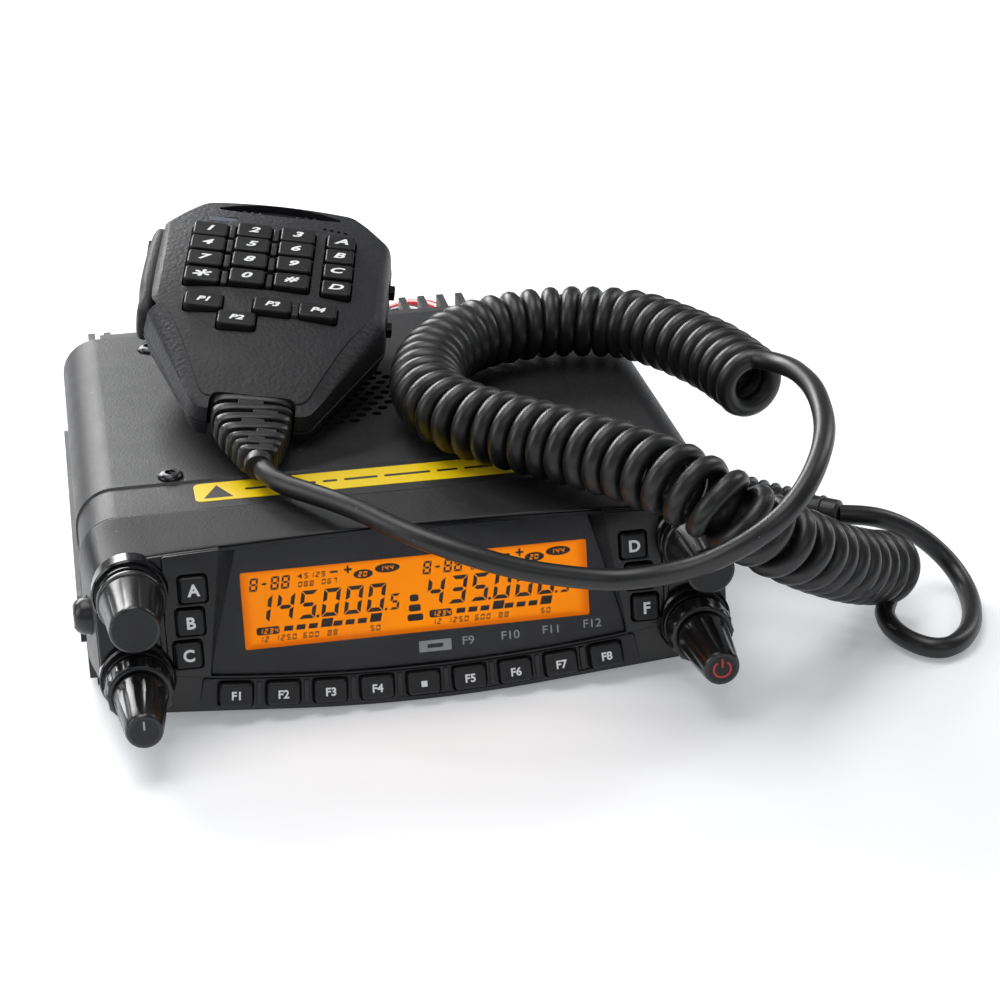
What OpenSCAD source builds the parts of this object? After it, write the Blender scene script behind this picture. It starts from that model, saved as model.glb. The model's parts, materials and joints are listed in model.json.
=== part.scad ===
// Mobile transceiver: body with heat sink, control head, hand microphone,
// curly cord and power pigtail.
// Millimetres. +X is the right side seen from the front, the head faces -Y,
// +Z is up, and the origin is under the middle of the flat underside.

/* [Body] */
// Width across the body
body_w = 140; // [130:1:150]
// Height from the underside to the top cover
body_h = 40; // [36:1:46]
// Front end of the body, where the head joins it
seam_y = -53; // [-60:0.5:-45]
// Rear end of the top cover
rear_y = 57; // [50:0.5:65]
// Radius of the long top edges
edge_r = 9; // [4:0.5:12]
// Height where the top cover ends and the casting shows
split_z = 28; // [22:0.5:30]
// Thickness of the cover sheet
sheet_t = 1.6; // [1:0.1:2.5]
// Heat-sink fins that stand behind the casting
fin_l = 10; // [4:0.5:14]
// Diameter of the holes over the loudspeaker
vent_d = 2.4; // [1.5:0.1:3.5]
// Distance between those holes
vent_pitch = 3.7; // [3:0.1:6]
// Radius of the round field of holes
vent_field_r = 21; // [10:1:24]
// Distance between the two bracket screws on each side
bracket_gap = 44; // [30:1:50]

/* [Head] */
// Lean of the face, its foot further forward than its top
face_lean = 11; // [0:0.5:20]
// Foot of the face plane at z = 0
face_y0 = -77.4; // [-85:0.1:-70]
// Height of the face on its middle line
face_top = 39.6; // [36:0.1:42]
// Distance of the knobs from the middle
knob_x = 60; // [55:0.5:62]
// Height of the two dials
dial_z = 30; // [26:0.5:32]
// Height of the two volume knobs
vol_z = 12; // [9:0.5:14]
// Distance between the keys of the bottom row
key_pitch = 10; // [8:0.1:12]
// Width of a key in the bottom row
key_w = 6.9; // [5:0.1:8.5]
// Height of a key in the bottom row
key_h = 4.9; // [3:0.1:6]
// Size of a side key
side_key = 5.5; // [4:0.1:6.5]
// Clearance round the keys
key_gap = 0.3; // [0.2:0.05:0.5]

/* [Microphone] */
// Turn of the microphone on the cover, seen from above
mic_yaw = -11.6; // [-40:0.1:40]
// Its upper end held up by the hanger button
mic_pitch = 13.2; // [0:0.1:25]
// Its lean to one side
mic_roll = 8.3; // [-15:0.1:15]
// Column distance of its keys
pad_dx = 10.5; // [8:0.1:12]
// Row distance of its keys
pad_dy = 6.7; // [5:0.1:8]
// Depth of its wall
mic_wall = 2; // [1.2:0.1:3]

/* [Cords] */
// Outer diameter of the curly part
coil_d = 17.4; // [12:0.1:22]
// Diameter of the microphone cord
cord_d = 4.6; // [3.5:0.1:6]
// Diameter of each power wire
wire_d = 3; // [2:0.1:4]

/* [Hidden] */
$fn = 40;
half = body_w / 2;
bracket_y = 18;
fit = 0.05;
cast_w = half - sheet_t - 0.3;
mic_at = [-17.9, 24.3, 70];
fan_x = -38;
fan_z = 20;
fan_r = 14;
antenna_at = [44, 21];
jack_at = [[12, 12], [22, 12]];
gland_at = [30, 27];
port_at = [-26, 19];
dial_y = 73.5;
vol_y = 77.1;
// fine: number of steps a route is smoothed in between two of its points
fine = 3;
// Routes of the cords
lead_pts = [[-29.3, -42, 44.5], [-29.2, -46, 44.1], [-26.5, -51, 43.4], [-20, -58, 43.2],
    [-12, -68, 43.2], [-4, -77, 41.6], [3.2, -83, 40.1], [11, -87, 38], [19, -89.5, 35.8],
    [27, -91.5, 34.4], [38, -94, 33.3], [46.5, -97, 35], [53.5, -101, 38], [60.5, -105, 43],
    [69, -106, 48.8], [77.5, -99, 54], [84.8, -85, 58], [88.2, -68, 59.6], [89.4, -52, 58],
    [88.6, -42, 56.4], [84.8, -34, 55.4]];
coil_pts = [[84, -34.5, 49.2], [79.5, -14, 49.2], [68, 8, 49.2], [54, 15.5, 49.2],
    [40, 16, 49.2], [26.5, 11, 49.2], [16.5, -1, 49.2], [12, -15, 49.2], [12, -28, 49.2],
    [16.5, -39, 49.2], [25, -48.5, 49.2], [34, -58, 49.2], [43, -68, 49.3], [51, -78, 49],
    [57, -84.8, 47.4], [63, -89.6, 44.6], [70.5, -90, 39], [79, -86.5, 33], [86.3, -80, 27],
    [93.5, -73.5, 21.5], [101, -65.5, 16], [107.5, -59, 12], [111.5, -55, 9.4]];
tail_pts = [[108, -60.5, 5], [106.4, -66.5, 3.2], [107, -73, 2.6], [109.8, -79.6, 2.6],
    [114.6, -82.6, 2.6], [121, -78, 2.6], [126, -69, 2.6], [128.8, -58, 3.2], [127.6, -50.2, 6.4],
    [122.4, -46.8, 11.6], [115.4, -46.4, 16.4], [108.4, -46.6, 19.2], [101.2, -46.2, 20.1]];
red_pts = [[32, 62, 27], [32.5, 74, 28.5], [31, 88, 29], [24, 100, 26.5], [12, 108, 19],
    [-3, 112, 10], [-18, 113, 5], [-32, 113.5, 4.6], [-44, 113.5, 4.6]];
black_pts = [[28, 62, 27], [28, 74, 28.5], [26.5, 85, 29], [20.5, 95.5, 26.5], [9.5, 103, 19],
    [-4.5, 107, 10], [-18.5, 108.2, 5], [-32, 108.5, 4.6], [-44, 108.5, 4.6]];

// Shaping helpers
function spline(p, i, t) = let(n = len(p) - 1, a = p[max(i - 1, 0)], b = p[i],
    c = p[min(i + 1, n)], d = p[min(i + 2, n)])
    0.5 * (2 * b + (c - a) * t + (2 * a - 5 * b + 4 * c - d) * t * t
    + (3 * b - a - 3 * c + d) * t * t * t);
function route(p, n) = [for (i = [0 : len(p) - 2], k = [0 : n - 1]) spline(p, i, k / n),
    p[len(p) - 1]];
function unit(v) = v / norm(v);
function heading(p, i) = unit(p[min(i + 1, len(p) - 1)] - p[max(i - 1, 0)]);

module tube(pts, r, sides = 10) {
    p = route(pts, fine);
    n = len(p);
    rings = [for (i = [0 : n - 1]) let(t = heading(p, i), s = unit(cross([0.02, 0.05, 1], t)),
        u = cross(t, s)) for (k = [0 : sides - 1]) p[i] + r * (cos(360 * k / sides) * s
        + sin(360 * k / sides) * u)];
    walls = [for (i = [0 : n - 2], k = [0 : sides - 1]) let(a = i * sides + k,
        b = i * sides + (k + 1) % sides) [a, a + sides, b + sides, b]];
    ends = [[for (k = [0 : sides - 1]) k],
        [for (k = [sides - 1 : -1 : 0]) (n - 1) * sides + k]];
    polyhedron(rings, concat(walls, ends), convexity = 8);
}

module soft_rect(w, h, r) {
    square([w - 2 * r, h], center = true);
    square([w, h - 2 * r], center = true);
    for (sx = [-1, 1], sy = [-1, 1])
        translate([sx * (w / 2 - r), sy * (h / 2 - r)]) circle(r, $fn = 24);
}

// Places of the head's parts
module on_face() { translate([0, face_y0, 0]) rotate([90 - face_lean, 0, 0]) children(); }
module knob_at(side, z) { translate([side * knob_x, 0, z]) rotate([90, 0, 0]) children(); }
module on_mic() { translate(mic_at) rotate([0, 0, mic_yaw]) rotate([mic_pitch, 0, 0])
    rotate([0, mic_roll, 0]) children(); }
module at_rear(p) { translate([p[0], 0, p[1]]) rotate([-90, 0, 0]) children(); }

// Outline of the face, grown by g
module face_shape(g = 0) {
    hull() {
        for (s = [-1, 1]) {
            translate([s * 59.3, 12.6]) circle(8.4 + g, $fn = 32);
            translate([s * 61.6, 31.6]) circle(6.2 + g, $fn = 32);
        }
        for (x = [-50 : 12.5 : 50]) {
            translate([x, 0.7 + 3.5 * pow(x / 50, 2) - g]) square(0.2, center = true);
            translate([x, face_top - pow(x / 50, 2) + g]) square(0.2, center = true);
        }
    }
}

// Outline of the lens, narrower at its top, grown by g
module lens_shape(g = 0) {
    n = 8;
    low = [for (i = [-n : n]) [i / n * (44.6 + g), 8.9 + 2.6 * pow(i / n, 2) - g]];
    high = [for (i = [n : -1 : -n]) [i / n * (40.6 + g), 39.2 - 0.9 * pow(i / n, 2) + g]];
    polygon(concat(low, high));
}

// Where key i of the bottom row (1 to 9) lies on the face
function row_x(i) = (i - 5) * key_pitch;
function row_v(i) = 5.1 + 1.75 * pow(row_x(i) / 40, 2);
function row_turn(i) = atan(3.5 * row_x(i) / 1600);
module on_row(i) { translate([row_x(i), row_v(i), 0]) rotate([0, 0, row_turn(i)]) children(); }
// Where side key i lies: 0 to 2 on the left, 3 to 5 on the right
function side_of(i) = i < 3 ? -1 : 1;
function side_x(i) = side_of(i) * (47.1 + 1.05 * (i % 3));
function side_v(i) = 30.6 - 7 * (i % 3);
module on_side(i) { translate([side_x(i), side_v(i), 0]) children(); }

module cover_profile(g) {
    r = edge_r - g;
    w = half - g;
    top = body_h - g;
    translate([-w, split_z]) square([2 * w, top - r - split_z]);
    translate([-w + r, split_z]) square([2 * (w - r), top - split_z]);
    for (s = [-1, 1]) translate([s * (w - r), top - r]) circle(r, $fn = 64);
}

// ---- Body ----

module chassis() {
    color([0.07, 0.07, 0.08]) difference() {
        union() {
            // side walls: full width below the cover, narrower inside it
            for (s = [-1, 1]) {
                translate([s * (half - 3), (seam_y + 60) / 2, (2 + split_z - 0.2) / 2])
                    cube([6, 60 - seam_y, split_z - 2.2], center = true);
                translate([s * (cast_w - 5.5), (seam_y + 60) / 2, 18])
                    cube([4, 60 - seam_y - 1, 32], center = true);
                // rail that carries the mounting bracket
                translate([s * (half + 0.4), 0, 14]) cube([1.6, 96, 11], center = true);
            }
            translate([-half + 1, seam_y, 2]) cube([body_w - 2, 60 - seam_y, 3.4]);
            translate([-half + 1, seam_y, 2]) cube([body_w - 2, 3, 24]);
            translate([-60, rear_y + 0.3, 3]) cube([120, 4.7, 36]);
            translate([-half + 4, 54, 2]) cube([body_w - 8, 3.5, 30]);
            // fins either side of the connectors
            for (x = [54, 58, 62, -58, -62])
                translate([x - 0.9, rear_y + 2, 4]) cube([1.8, fin_l + 3, 32]);
            for (x = [-16 : 5 : 34])
                translate([x - 0.9, rear_y + 2, 34]) cube([1.8, fin_l + 3, 4.8]);
            for (x = [-16 : 5 : 4])
                translate([x - 0.9, rear_y + 2, 4]) cube([1.8, fin_l + 3, 34.8]);
            // posts for the cover screws
            for (x = [-48.5, 48.5], y = [-34.5, 46])
                translate([x, y, 4]) cylinder(r = 3.5, h = 34, $fn = 24);
        }
        for (x = [-48.5, 48.5], y = [-34.5, 46])
            translate([x, y, 20]) cylinder(r = 1.3, h = 30, $fn = 20);
        for (s = [-1, 1], y = [bracket_y - bracket_gap / 2, bracket_y + bracket_gap / 2])
            translate([s * (half - 4), y, 14]) rotate([0, 90, 0])
                cylinder(r = 2, h = 14, center = true, $fn = 32);
        // side opening for the microphone socket
        translate([50, port_at[0] - 8.2, port_at[1] - 7.2]) cube([30, 16.4, 14.4]);
        // rear openings: air, antenna, jacks and the power gland
        at_rear([fan_x, fan_z]) translate([0, 0, 45]) cylinder(r = fan_r, h = 20);
        at_rear(antenna_at) translate([0, 0, 45]) cylinder(r = 6.1, h = 20);
        for (p = jack_at) at_rear(p) translate([0, 0, 45]) cylinder(r = 3.6, h = 20);
        at_rear([gland_at[0], gland_at[1]]) translate([0, 0, 45]) cylinder(r = 5.1, h = 20);
        // passage to the head
        translate([0, seam_y, 15]) cube([60, 10, 12], center = true);
    }
}

module top_cover() {
    color([0.09, 0.09, 0.1]) difference() {
        translate([0, rear_y, 0]) rotate([90, 0, 0]) linear_extrude(rear_y - seam_y)
            cover_profile(0);
        translate([0, rear_y + 1, 0]) rotate([90, 0, 0]) linear_extrude(rear_y - seam_y + 2)
            cover_profile(sheet_t);
        translate([-half - 1, seam_y - 1, 0]) cube([body_w + 2, rear_y - seam_y + 2, split_z]);
        for (i = [-5 : 5], j = [-5 : 5]) {
            x = (i + (j % 2 == 0 ? 0 : 0.5)) * vent_pitch;
            y = j * vent_pitch * 0.866;
            if (norm([x, y]) < vent_field_r)
                translate([x - 12, y + 7, body_h - 5]) cylinder(d = vent_d, h = 9, $fn = 16);
        }
        for (x = [-48.5, 48.5], y = [-34.5, 46])
            translate([x, y, body_h - 5]) cylinder(r = 1.7, h = 9, $fn = 24);
    }
}

module bottom_cover() {
    color([0.09, 0.09, 0.1]) difference() {
        translate([-half + 1.5, seam_y + 0.5, 0]) cube([body_w - 3, rear_y - seam_y - 1, 1.8]);
        for (x = [-48.5, 48.5], y = [-34.5, 46])
            translate([x, y, -1]) cylinder(r = 1.7, h = 4, $fn = 24);
    }
}

module cover_screws() {
    color([0.05, 0.05, 0.06]) for (x = [-48.5, 48.5], y = [-34.5, 46]) translate([x, y, 0]) {
        difference() {
            translate([0, 0, body_h + 0.02]) cylinder(r1 = 2.9, r2 = 2.1, h = 1.1, $fn = 28);
            for (a = [0, 90]) rotate([0, 0, a]) translate([0, 0, body_h + 0.9])
                cube([2.6, 0.6, 1], center = true);
        }
        translate([0, 0, 30]) cylinder(r = 1.25, h = body_h - 29.9, $fn = 20);
    }
}

module main_board() {
    color([0.05, 0.25, 0.12]) difference() {
        union() {
            translate([-56, -45, 9]) cube([112, 92, 1.6]);
            for (x = [-50, 50], y = [-40, 42]) translate([x, y, 5.5]) cylinder(r = 3, h = 4);
            // screening cans, power module and capacitors
            translate([12, -42, 10.4]) cube([34, 26, 8]);
            translate([-50, -28, 10.4]) cube([30, 22, 6]);
            translate([18, 2, 10.4]) cube([32, 36, 9]);
            for (x = [-44, -34, -24]) translate([x, 34, 10.4]) cylinder(d = 8, h = 10, $fn = 24);
        }
        for (x = [-48.5, 48.5], y = [-34.5, 46])
            translate([x, y, 0]) cylinder(r = 4, h = 30, $fn = 24);
        translate([52, port_at[0] - 10, 8]) cube([10, 20, 4]);
    }
}

module loudspeaker() {
    color([0.12, 0.12, 0.13]) translate([-12, 7, 0]) {
        difference() {
            translate([0, 0, 34.6]) cylinder(d = 46, h = 3.5);
            translate([0, 0, 36.2]) cylinder(d = 41, h = 3);
        }
        translate([0, 0, 28]) cylinder(d1 = 24, d2 = 40, h = 6.8);
        translate([0, 0, 22.5]) cylinder(d = 24, h = 6);
        translate([0, 0, 36]) cylinder(d1 = 16, d2 = 10, h = 1.6);
    }
}

module fan_frame() {
    color([0.06, 0.06, 0.06]) at_rear([fan_x, fan_z]) translate([0, 0, 62.3]) difference() {
        translate([0, 0, 5]) linear_extrude(10, center = true) soft_rect(30, 30, 2.5);
        difference() {
            translate([0, 0, -1]) cylinder(r = fan_r, h = 12);
            translate([0, 0, -2]) cylinder(r = 5.5, h = 3.2);
            cylinder(r = 1.2, h = 7);
            for (a = [30, 150, 270]) rotate([0, 0, a]) translate([0, -0.9, -2])
                cube([20, 1.8, 3.2]);
        }
        for (x = [-12, 12], y = [-12, 12]) translate([x, y, -1]) cylinder(r = 1.6, h = 12,
            $fn = 24);
    }
}

module fan_rotor() {
    color([0.1, 0.1, 0.1]) at_rear([fan_x, fan_z]) translate([0, 0, 64]) {
        difference() {
            cylinder(r = 6.5, h = 7.5);
            translate([0, 0, -1]) cylinder(r = 1.2 + fit, h = 7);
        }
        for (i = [0 : 6]) rotate([0, 0, i * 360 / 7]) translate([9.6, 0, 3.9])
            rotate([32, 0, 0]) cube([7.4, 1, 7.6], center = true);
    }
}

module antenna_socket() {
    color([0.75, 0.74, 0.7]) at_rear(antenna_at) difference() {
        union() {
            translate([0, 0, 62.1]) cylinder(r = 9, h = 2.2);
            translate([0, 0, 52]) cylinder(r = 6, h = 11);
            translate([0, 0, 64]) cylinder(r = 7.94, h = 12);
        }
        translate([0, 0, 67]) cylinder(r = 5.8, h = 12);
    }
    color([0.9, 0.88, 0.8]) at_rear(antenna_at) difference() {
        translate([0, 0, 66]) cylinder(r = 5.7, h = 8);
        translate([0, 0, 68]) cylinder(r = 2, h = 12);
    }
}

module rear_jacks() {
    color([0.08, 0.08, 0.08]) for (p = jack_at) at_rear(p) difference() {
        union() {
            translate([0, 0, 50]) cylinder(r = 3.5, h = 13);
            translate([0, 0, 62.1]) cylinder(r = 4.2, h = 1.4);
        }
        translate([0, 0, 52]) cylinder(r = 1.8, h = 12);
    }
}

module power_gland() {
    color([0.05, 0.05, 0.05]) at_rear([gland_at[0], gland_at[1]]) difference() {
        union() {
            translate([0, 0, 52]) cylinder(r = 5, h = 11);
            translate([0, 0, 62.1]) cylinder(r1 = 5.6, r2 = 4.4, h = 3);
            translate([0, 0, 52]) cylinder(r = 5.9, h = 1.8);
        }
        for (s = [-1, 1]) translate([s * 2, 0, 60]) cylinder(d = wire_d + 0.1, h = 10, $fn = 24);
    }
}

module mic_socket() {
    color([0.07, 0.07, 0.07]) translate([0, port_at[0], port_at[1]]) difference() {
        translate([53, -8, -7]) cube([16.6, 16, 14]);
        translate([57, -6.05, -4.05]) cube([20, 12.1, 8.1]);
    }
}

// ---- Head ----

module head_case() {
    color([0.08, 0.08, 0.09]) difference() {
        hull() {
            translate([0, seam_y - 0.3, 0]) rotate([90, 0, 0]) linear_extrude(0.4) {
                for (s = [-1, 1]) {
                    translate([s * (half - edge_r), body_h - edge_r]) circle(edge_r, $fn = 40);
                    translate([s * (half - 6), 8]) circle(6, $fn = 32);
                }
            }
            on_face() translate([0, 0, -2.4]) linear_extrude(0.4) face_shape(0);
        }
        hull() {
            translate([0, seam_y, 0]) rotate([90, 0, 0]) linear_extrude(0.4) {
                for (s = [-1, 1]) {
                    translate([s * (half - edge_r), body_h - edge_r]) circle(6.8, $fn = 32);
                    translate([s * (half - 6), 8]) circle(3.8, $fn = 32);
                }
            }
            on_face() translate([0, 0, -4.6]) linear_extrude(0.4) face_shape(-2);
        }
        on_face() translate([0, 0, -6]) {
            translate([-40.6, 13.6, 0]) cube([81.2, 22, 8]);
            for (i = [1 : 9]) on_row(i) linear_extrude(8)
                square([key_w - 1, key_h - 1], center = true);
            for (i = [0 : 5]) on_side(i) linear_extrude(8)
                square([side_key - 1, side_key - 1], center = true);
        }
        for (s = [-1, 1], z = [dial_z, vol_z]) knob_at(s, z) translate([0, 0, 60])
            cylinder(r = 4.5, h = 30);
        // side hole of the release button
        translate([-half - 5, -62.5, 22]) rotate([0, 90, 0]) cylinder(r = 4.2, h = 12);
    }
}

module head_bezel() {
    color([0.03, 0.03, 0.035]) difference() {
        union() {
            on_face() translate([0, 0, -1.9]) linear_extrude(1.9) face_shape(0);
            for (s = [-1, 1]) {
                knob_at(s, dial_z) translate([0, 0, dial_y - 4.2]) cylinder(r = 7.4, h = 4);
                knob_at(s, vol_z) translate([0, 0, vol_y - 4.2]) cylinder(r = 7.4, h = 4);
            }
        }
        // keep the dial bosses out of the case
        on_face() translate([-80, -10, -11.9]) cube([160, 60, 10]);
        on_face() {
            translate([0, 0, -1.15]) linear_extrude(3) lens_shape(0.1);
            translate([-39.6, 14.4, -4]) cube([79.2, 20.4, 8]);
            for (i = [1 : 9]) on_row(i) translate([0, 0, -4]) linear_extrude(8)
                square([key_w + 2 * key_gap, key_h + 2 * key_gap], center = true);
            for (i = [0 : 5]) on_side(i) translate([0, 0, -4]) linear_extrude(8)
                square([side_key + 2 * key_gap, side_key + 2 * key_gap], center = true);
        }
        for (s = [-1, 1], z = [dial_z, vol_z]) knob_at(s, z) translate([0, 0, 60])
            cylinder(r = 4.5, h = 30);
    }
}

module lens() {
    color([0.12, 0.12, 0.13, 0.55]) on_face() translate([0, 0, -1.1]) linear_extrude(1.4)
        lens_shape(0);
}

module lcd_panel() {
    color([0.95, 0.5, 0.06]) on_face() translate([0, 0, -7.2]) {
        translate([-39.4, 13.9, 0]) cube([78.8, 21, 4.4]);
        translate([-37, 15.9, 4]) cube([74, 16.6, 0.7]);
    }
}

module head_board() {
    color([0.05, 0.25, 0.12]) on_face() translate([0, 0, -14.6]) {
        translate([-51, 8.1, 0]) cube([102, 26.3, 1.6]);
        translate([-38, 14.5, 1.4]) cube([76, 19, 5.6]);
        for (i = [1 : 9]) on_row(i) translate([0, 4, 1.4]) cylinder(r = 1.3, h = 1.3, $fn = 20);
        for (i = [0 : 5]) on_side(i) translate([0, 0, 1.4]) cylinder(r = 1.6, h = 1.3, $fn = 20);
    }
}

module control_bodies() {
    color([0.35, 0.35, 0.36]) for (s = [-1, 1]) {
        knob_at(s, dial_z) difference() {
            union() {
                translate([0, 0, 58]) cylinder(r = 4.4, h = 7.3);
                translate([0, 0, 65]) cylinder(r = 4.2, h = dial_y - 65.4);
            }
            translate([0, 0, 59.4]) cylinder(r = 3 + fit, h = 20);
        }
        knob_at(s, vol_z) difference() {
            union() {
                translate([0, 0, 60]) cylinder(r = 5.4, h = 8.6);
                translate([0, 0, 68]) cylinder(r = 4.2, h = vol_y - 68.4);
            }
            translate([0, 0, 62]) cylinder(r = 3.4 + fit, h = 20);
        }
    }
}

module dial_shaft(side) {
    color([0.6, 0.6, 0.62]) knob_at(side, dial_z) {
        translate([0, 0, 60.2]) cylinder(r = 3, h = dial_y + 8 - 60.2);
    }
}

module dial_knob(side) {
    color([0.04, 0.04, 0.045]) knob_at(side, dial_z) translate([0, 0, dial_y]) difference() {
        union() {
            translate([0, 0, 0.7]) cylinder(r1 = 7.2, r2 = 7, h = 1.6);
            translate([0, 0, 2.2]) cylinder(r1 = 6.7, r2 = 5.9, h = 5);
            translate([0, 0, 7.1]) cylinder(r1 = 5.9, r2 = 5.1, h = 7.2);
            translate([0, 0, 14.2]) cylinder(r1 = 5.1, r2 = 4.6, h = 0.6);
        }
        translate([0, 0, 0]) cylinder(r = 3 + fit, h = 8.3);
    }
}

module squelch_ring(side) {
    color([0.04, 0.04, 0.045]) knob_at(side, vol_z) difference() {
        union() {
            translate([0, 0, 62.4]) cylinder(r = 3.4, h = vol_y - 60);
            translate([0, 0, vol_y + 0.4]) cylinder(r1 = 7.1, r2 = 6.6, h = 4.6);
            for (a = [0 : 30 : 330]) rotate([0, 0, a])
                translate([6.2, 0, vol_y + 0.6]) cylinder(r = 1.2, h = 4, $fn = 14);
        }
        translate([0, 0, 60]) cylinder(r = 2 + fit, h = 40);
    }
}

module volume_knob(side) {
    color([0.04, 0.04, 0.045]) knob_at(side, vol_z) difference() {
        union() {
            translate([0, 0, 62.3]) cylinder(r = 2, h = vol_y - 55.3);
            translate([0, 0, vol_y + 5.4]) cylinder(r1 = 5.5, r2 = 4.9, h = 7);
            translate([0, 0, vol_y + 12.3]) cylinder(r1 = 4.9, r2 = 3.9, h = 8);
            translate([0, 0, vol_y + 20.2]) cylinder(r1 = 3.9, r2 = 3.5, h = 0.6);
        }
        for (a = [22.5 : 45 : 337.5]) rotate([0, 0, a])
            translate([6.6, 0, vol_y + 6]) rotate([0, -4, 0]) cylinder(r = 1.7, h = 18, $fn = 14);
    }
}

// A key: cap, neck through the case and the pin that meets its switch, lifted by up
module key_body(w, h, up) {
    color([0.07, 0.07, 0.08]) {
        translate([0, 0, -1.05]) linear_extrude(2.15) soft_rect(w, h, 0.6);
        translate([0, 0, 1]) linear_extrude(0.3) soft_rect(w - 0.7, h - 0.7, 0.5);
        translate([0, up * 0.15, -7]) linear_extrude(6)
            square([w - 1.8, h - 1.8 - up * 0.3], center = true);
        translate([-1, 0, -6.9]) cube([2, up + 0.8, 1.6]);
        translate([0, up, -10.95]) cylinder(r = 1.2, h = 5.35, $fn = 20);
    }
}
module row_key(i) { on_face() on_row(i) key_body(key_w, key_h, 4); }
module side_key_at(i) { on_face() on_side(i) key_body(side_key, side_key, 0); }

module release_button() {
    color([0.05, 0.05, 0.055]) translate([0, -62.5, 22]) rotate([0, -90, 0]) {
        translate([0, 0, 64.2]) cylinder(r = 4, h = 6.8);
        translate([0, 0, 70.8]) cylinder(r1 = 4, r2 = 3, h = 1.4);
        translate([0, 0, 64.7]) cylinder(r = 4.8, h = 1.2);
    }
}

// ---- Microphone ----

module mic_shape(g = 0) {
    for (s = [-1, 1]) {
        translate([s * 17, 24.5]) circle(4 + g, $fn = 32);
        translate([s * 24.8, 16]) circle(4 + g, $fn = 32);
        translate([s * 24.8, -17]) circle(4 + g, $fn = 32);
        translate([s * 10.5, -49]) circle(4 + g, $fn = 32);
    }
}
module mic_disc(x, y, z, r = 1.5) { translate([x, y, z - 0.2]) cylinder(r = r, h = 0.2, $fn = 20); }
module mic_front_hull(g) {
    hull() {
        translate([0, 0, -13]) linear_extrude(0.2) mic_shape(g);
        translate([0, 0, -8.4]) linear_extrude(0.2) mic_shape(g - 0.6);
        for (s = [-1, 1]) {
            mic_disc(s * (16.5 + g), 22 + g, -3.3 + g);
            mic_disc(s * (23.4 + g), 12, -3.6 + g);
            mic_disc(s * (22.6 + g), -18, -4.6 + g);
            mic_disc(s * (12 + g), -44 - g, -7.9 + g);
            mic_disc(s * 13, 9, -1.6 + g, 3);
            mic_disc(s * 12, -14, -2 + g, 3);
        }
        mic_disc(0, 0, -1.1 + g, 8);
    }
}
module mic_rear_hull(g) {
    hull() {
        translate([0, 0, -13.4]) linear_extrude(0.2) mic_shape(g);
        translate([0, 0, -17]) linear_extrude(0.2) mic_shape(g - 1.2);
        for (s = [-1, 1]) {
            mic_disc(s * (15 + g), 23 + g, -23.8 - g, 2.5);
            mic_disc(s * (18 + g), -6, -25.6 - g, 2.5);
            mic_disc(s * (16.5 + g), -27, -21.4 - g, 2.5);
            mic_disc(s * (8.5 + g), -46 - g, -17.2 - g, 2.5);
        }
    }
}
function pad_x(c) = (c - 1.5) * pad_dx;
function pad_y(r) = (1.5 - r) * pad_dy - 0.6;
// width of the keys of column c
function pad_w(c) = c == 3 ? 8 : 9.2;
p_keys = [[-14.4, -20.2], [-6.2, -26], [1.6, -20.4], [12.2, -20.2]];
// height of a key's top at [x, y], on the bulge of the face
function key_top(x, y) = 0.1 - 0.0033 * x * x - 0.0031 * y * y;

module mic_front_shell() {
    color([0.15, 0.15, 0.16]) on_mic() difference() {
        mic_front_hull(0);
        difference() {
            translate([0, 0, -0.01]) mic_front_hull(-mic_wall);
            translate([-40, 22.5, -30]) cube([80, 20, 40]);
        }
        for (c = [0 : 3], r = [0 : 3]) translate([pad_x(c), pad_y(r), -10])
            linear_extrude(12) square([pad_w(c) + 0.5, 5.9], center = true);
        for (p = p_keys) translate([p[0], p[1], -12]) linear_extrude(12)
            square([8.9, 5.7], center = true);
        for (i = [0 : 3]) translate([12 + i * 1.5, 16.2 - i * 0.1, -8])
            cylinder(d = 0.8, h = 12, $fn = 12);
        // pockets: talk lever, up-down rocker, side switches and the boot
        translate([-34, -19.5, -20]) cube([8.8, 41.6, 15]);
        translate([-14.4, 22.7, -10.4]) cube([28.8, 10, 6.4]);
        translate([26, -13.5, -14]) cube([6, 5.2, 6]);
        translate([26, 2.8, -14]) cube([6, 5.2, 6]);
        translate([-8, -60, -17.5]) cube([16, 14, 9]);
    }
}

module mic_rear_shell() {
    color([0.13, 0.13, 0.14]) on_mic() difference() {
        mic_rear_hull(0);
        difference() {
            translate([0, 0, 0.21]) mic_rear_hull(-mic_wall);
            translate([-40, 22.5, -30]) cube([80, 20, 40]);
        }
        translate([-34, -19.5, -20]) cube([8.8, 41.6, 15]);
        translate([-8, -60, -17.5]) cube([16, 14, 9]);
        translate([0, 12, -30]) cylinder(r = 3.1, h = 20);
        for (x = [-13, 13], y = [17, -29]) translate([x, y, -30]) {
            cylinder(r = 1.2, h = 20, $fn = 20);
            cylinder(r = 2.2, h = y > 0 ? 6.1 : 9.3, $fn = 24);
        }
    }
}

module mic_keypad() {
    color([0.05, 0.05, 0.05]) on_mic() {
        translate([-20.8, -14, -9.6]) cube([41.6, 27.5, 1]);
        translate([-19, -29.4, -9.6]) cube([36.2, 16, 1]);
        for (c = [0 : 3], r = [0 : 3]) translate([pad_x(c), pad_y(r), -9])
            linear_extrude(9 + key_top(pad_x(c), pad_y(r))) soft_rect(pad_w(c), 5.4, 0.7);
        for (p = p_keys) translate([p[0], p[1], -9])
            linear_extrude(9 + key_top(p[0], p[1])) soft_rect(8.4, 5.2, 0.7);
    }
}

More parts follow.
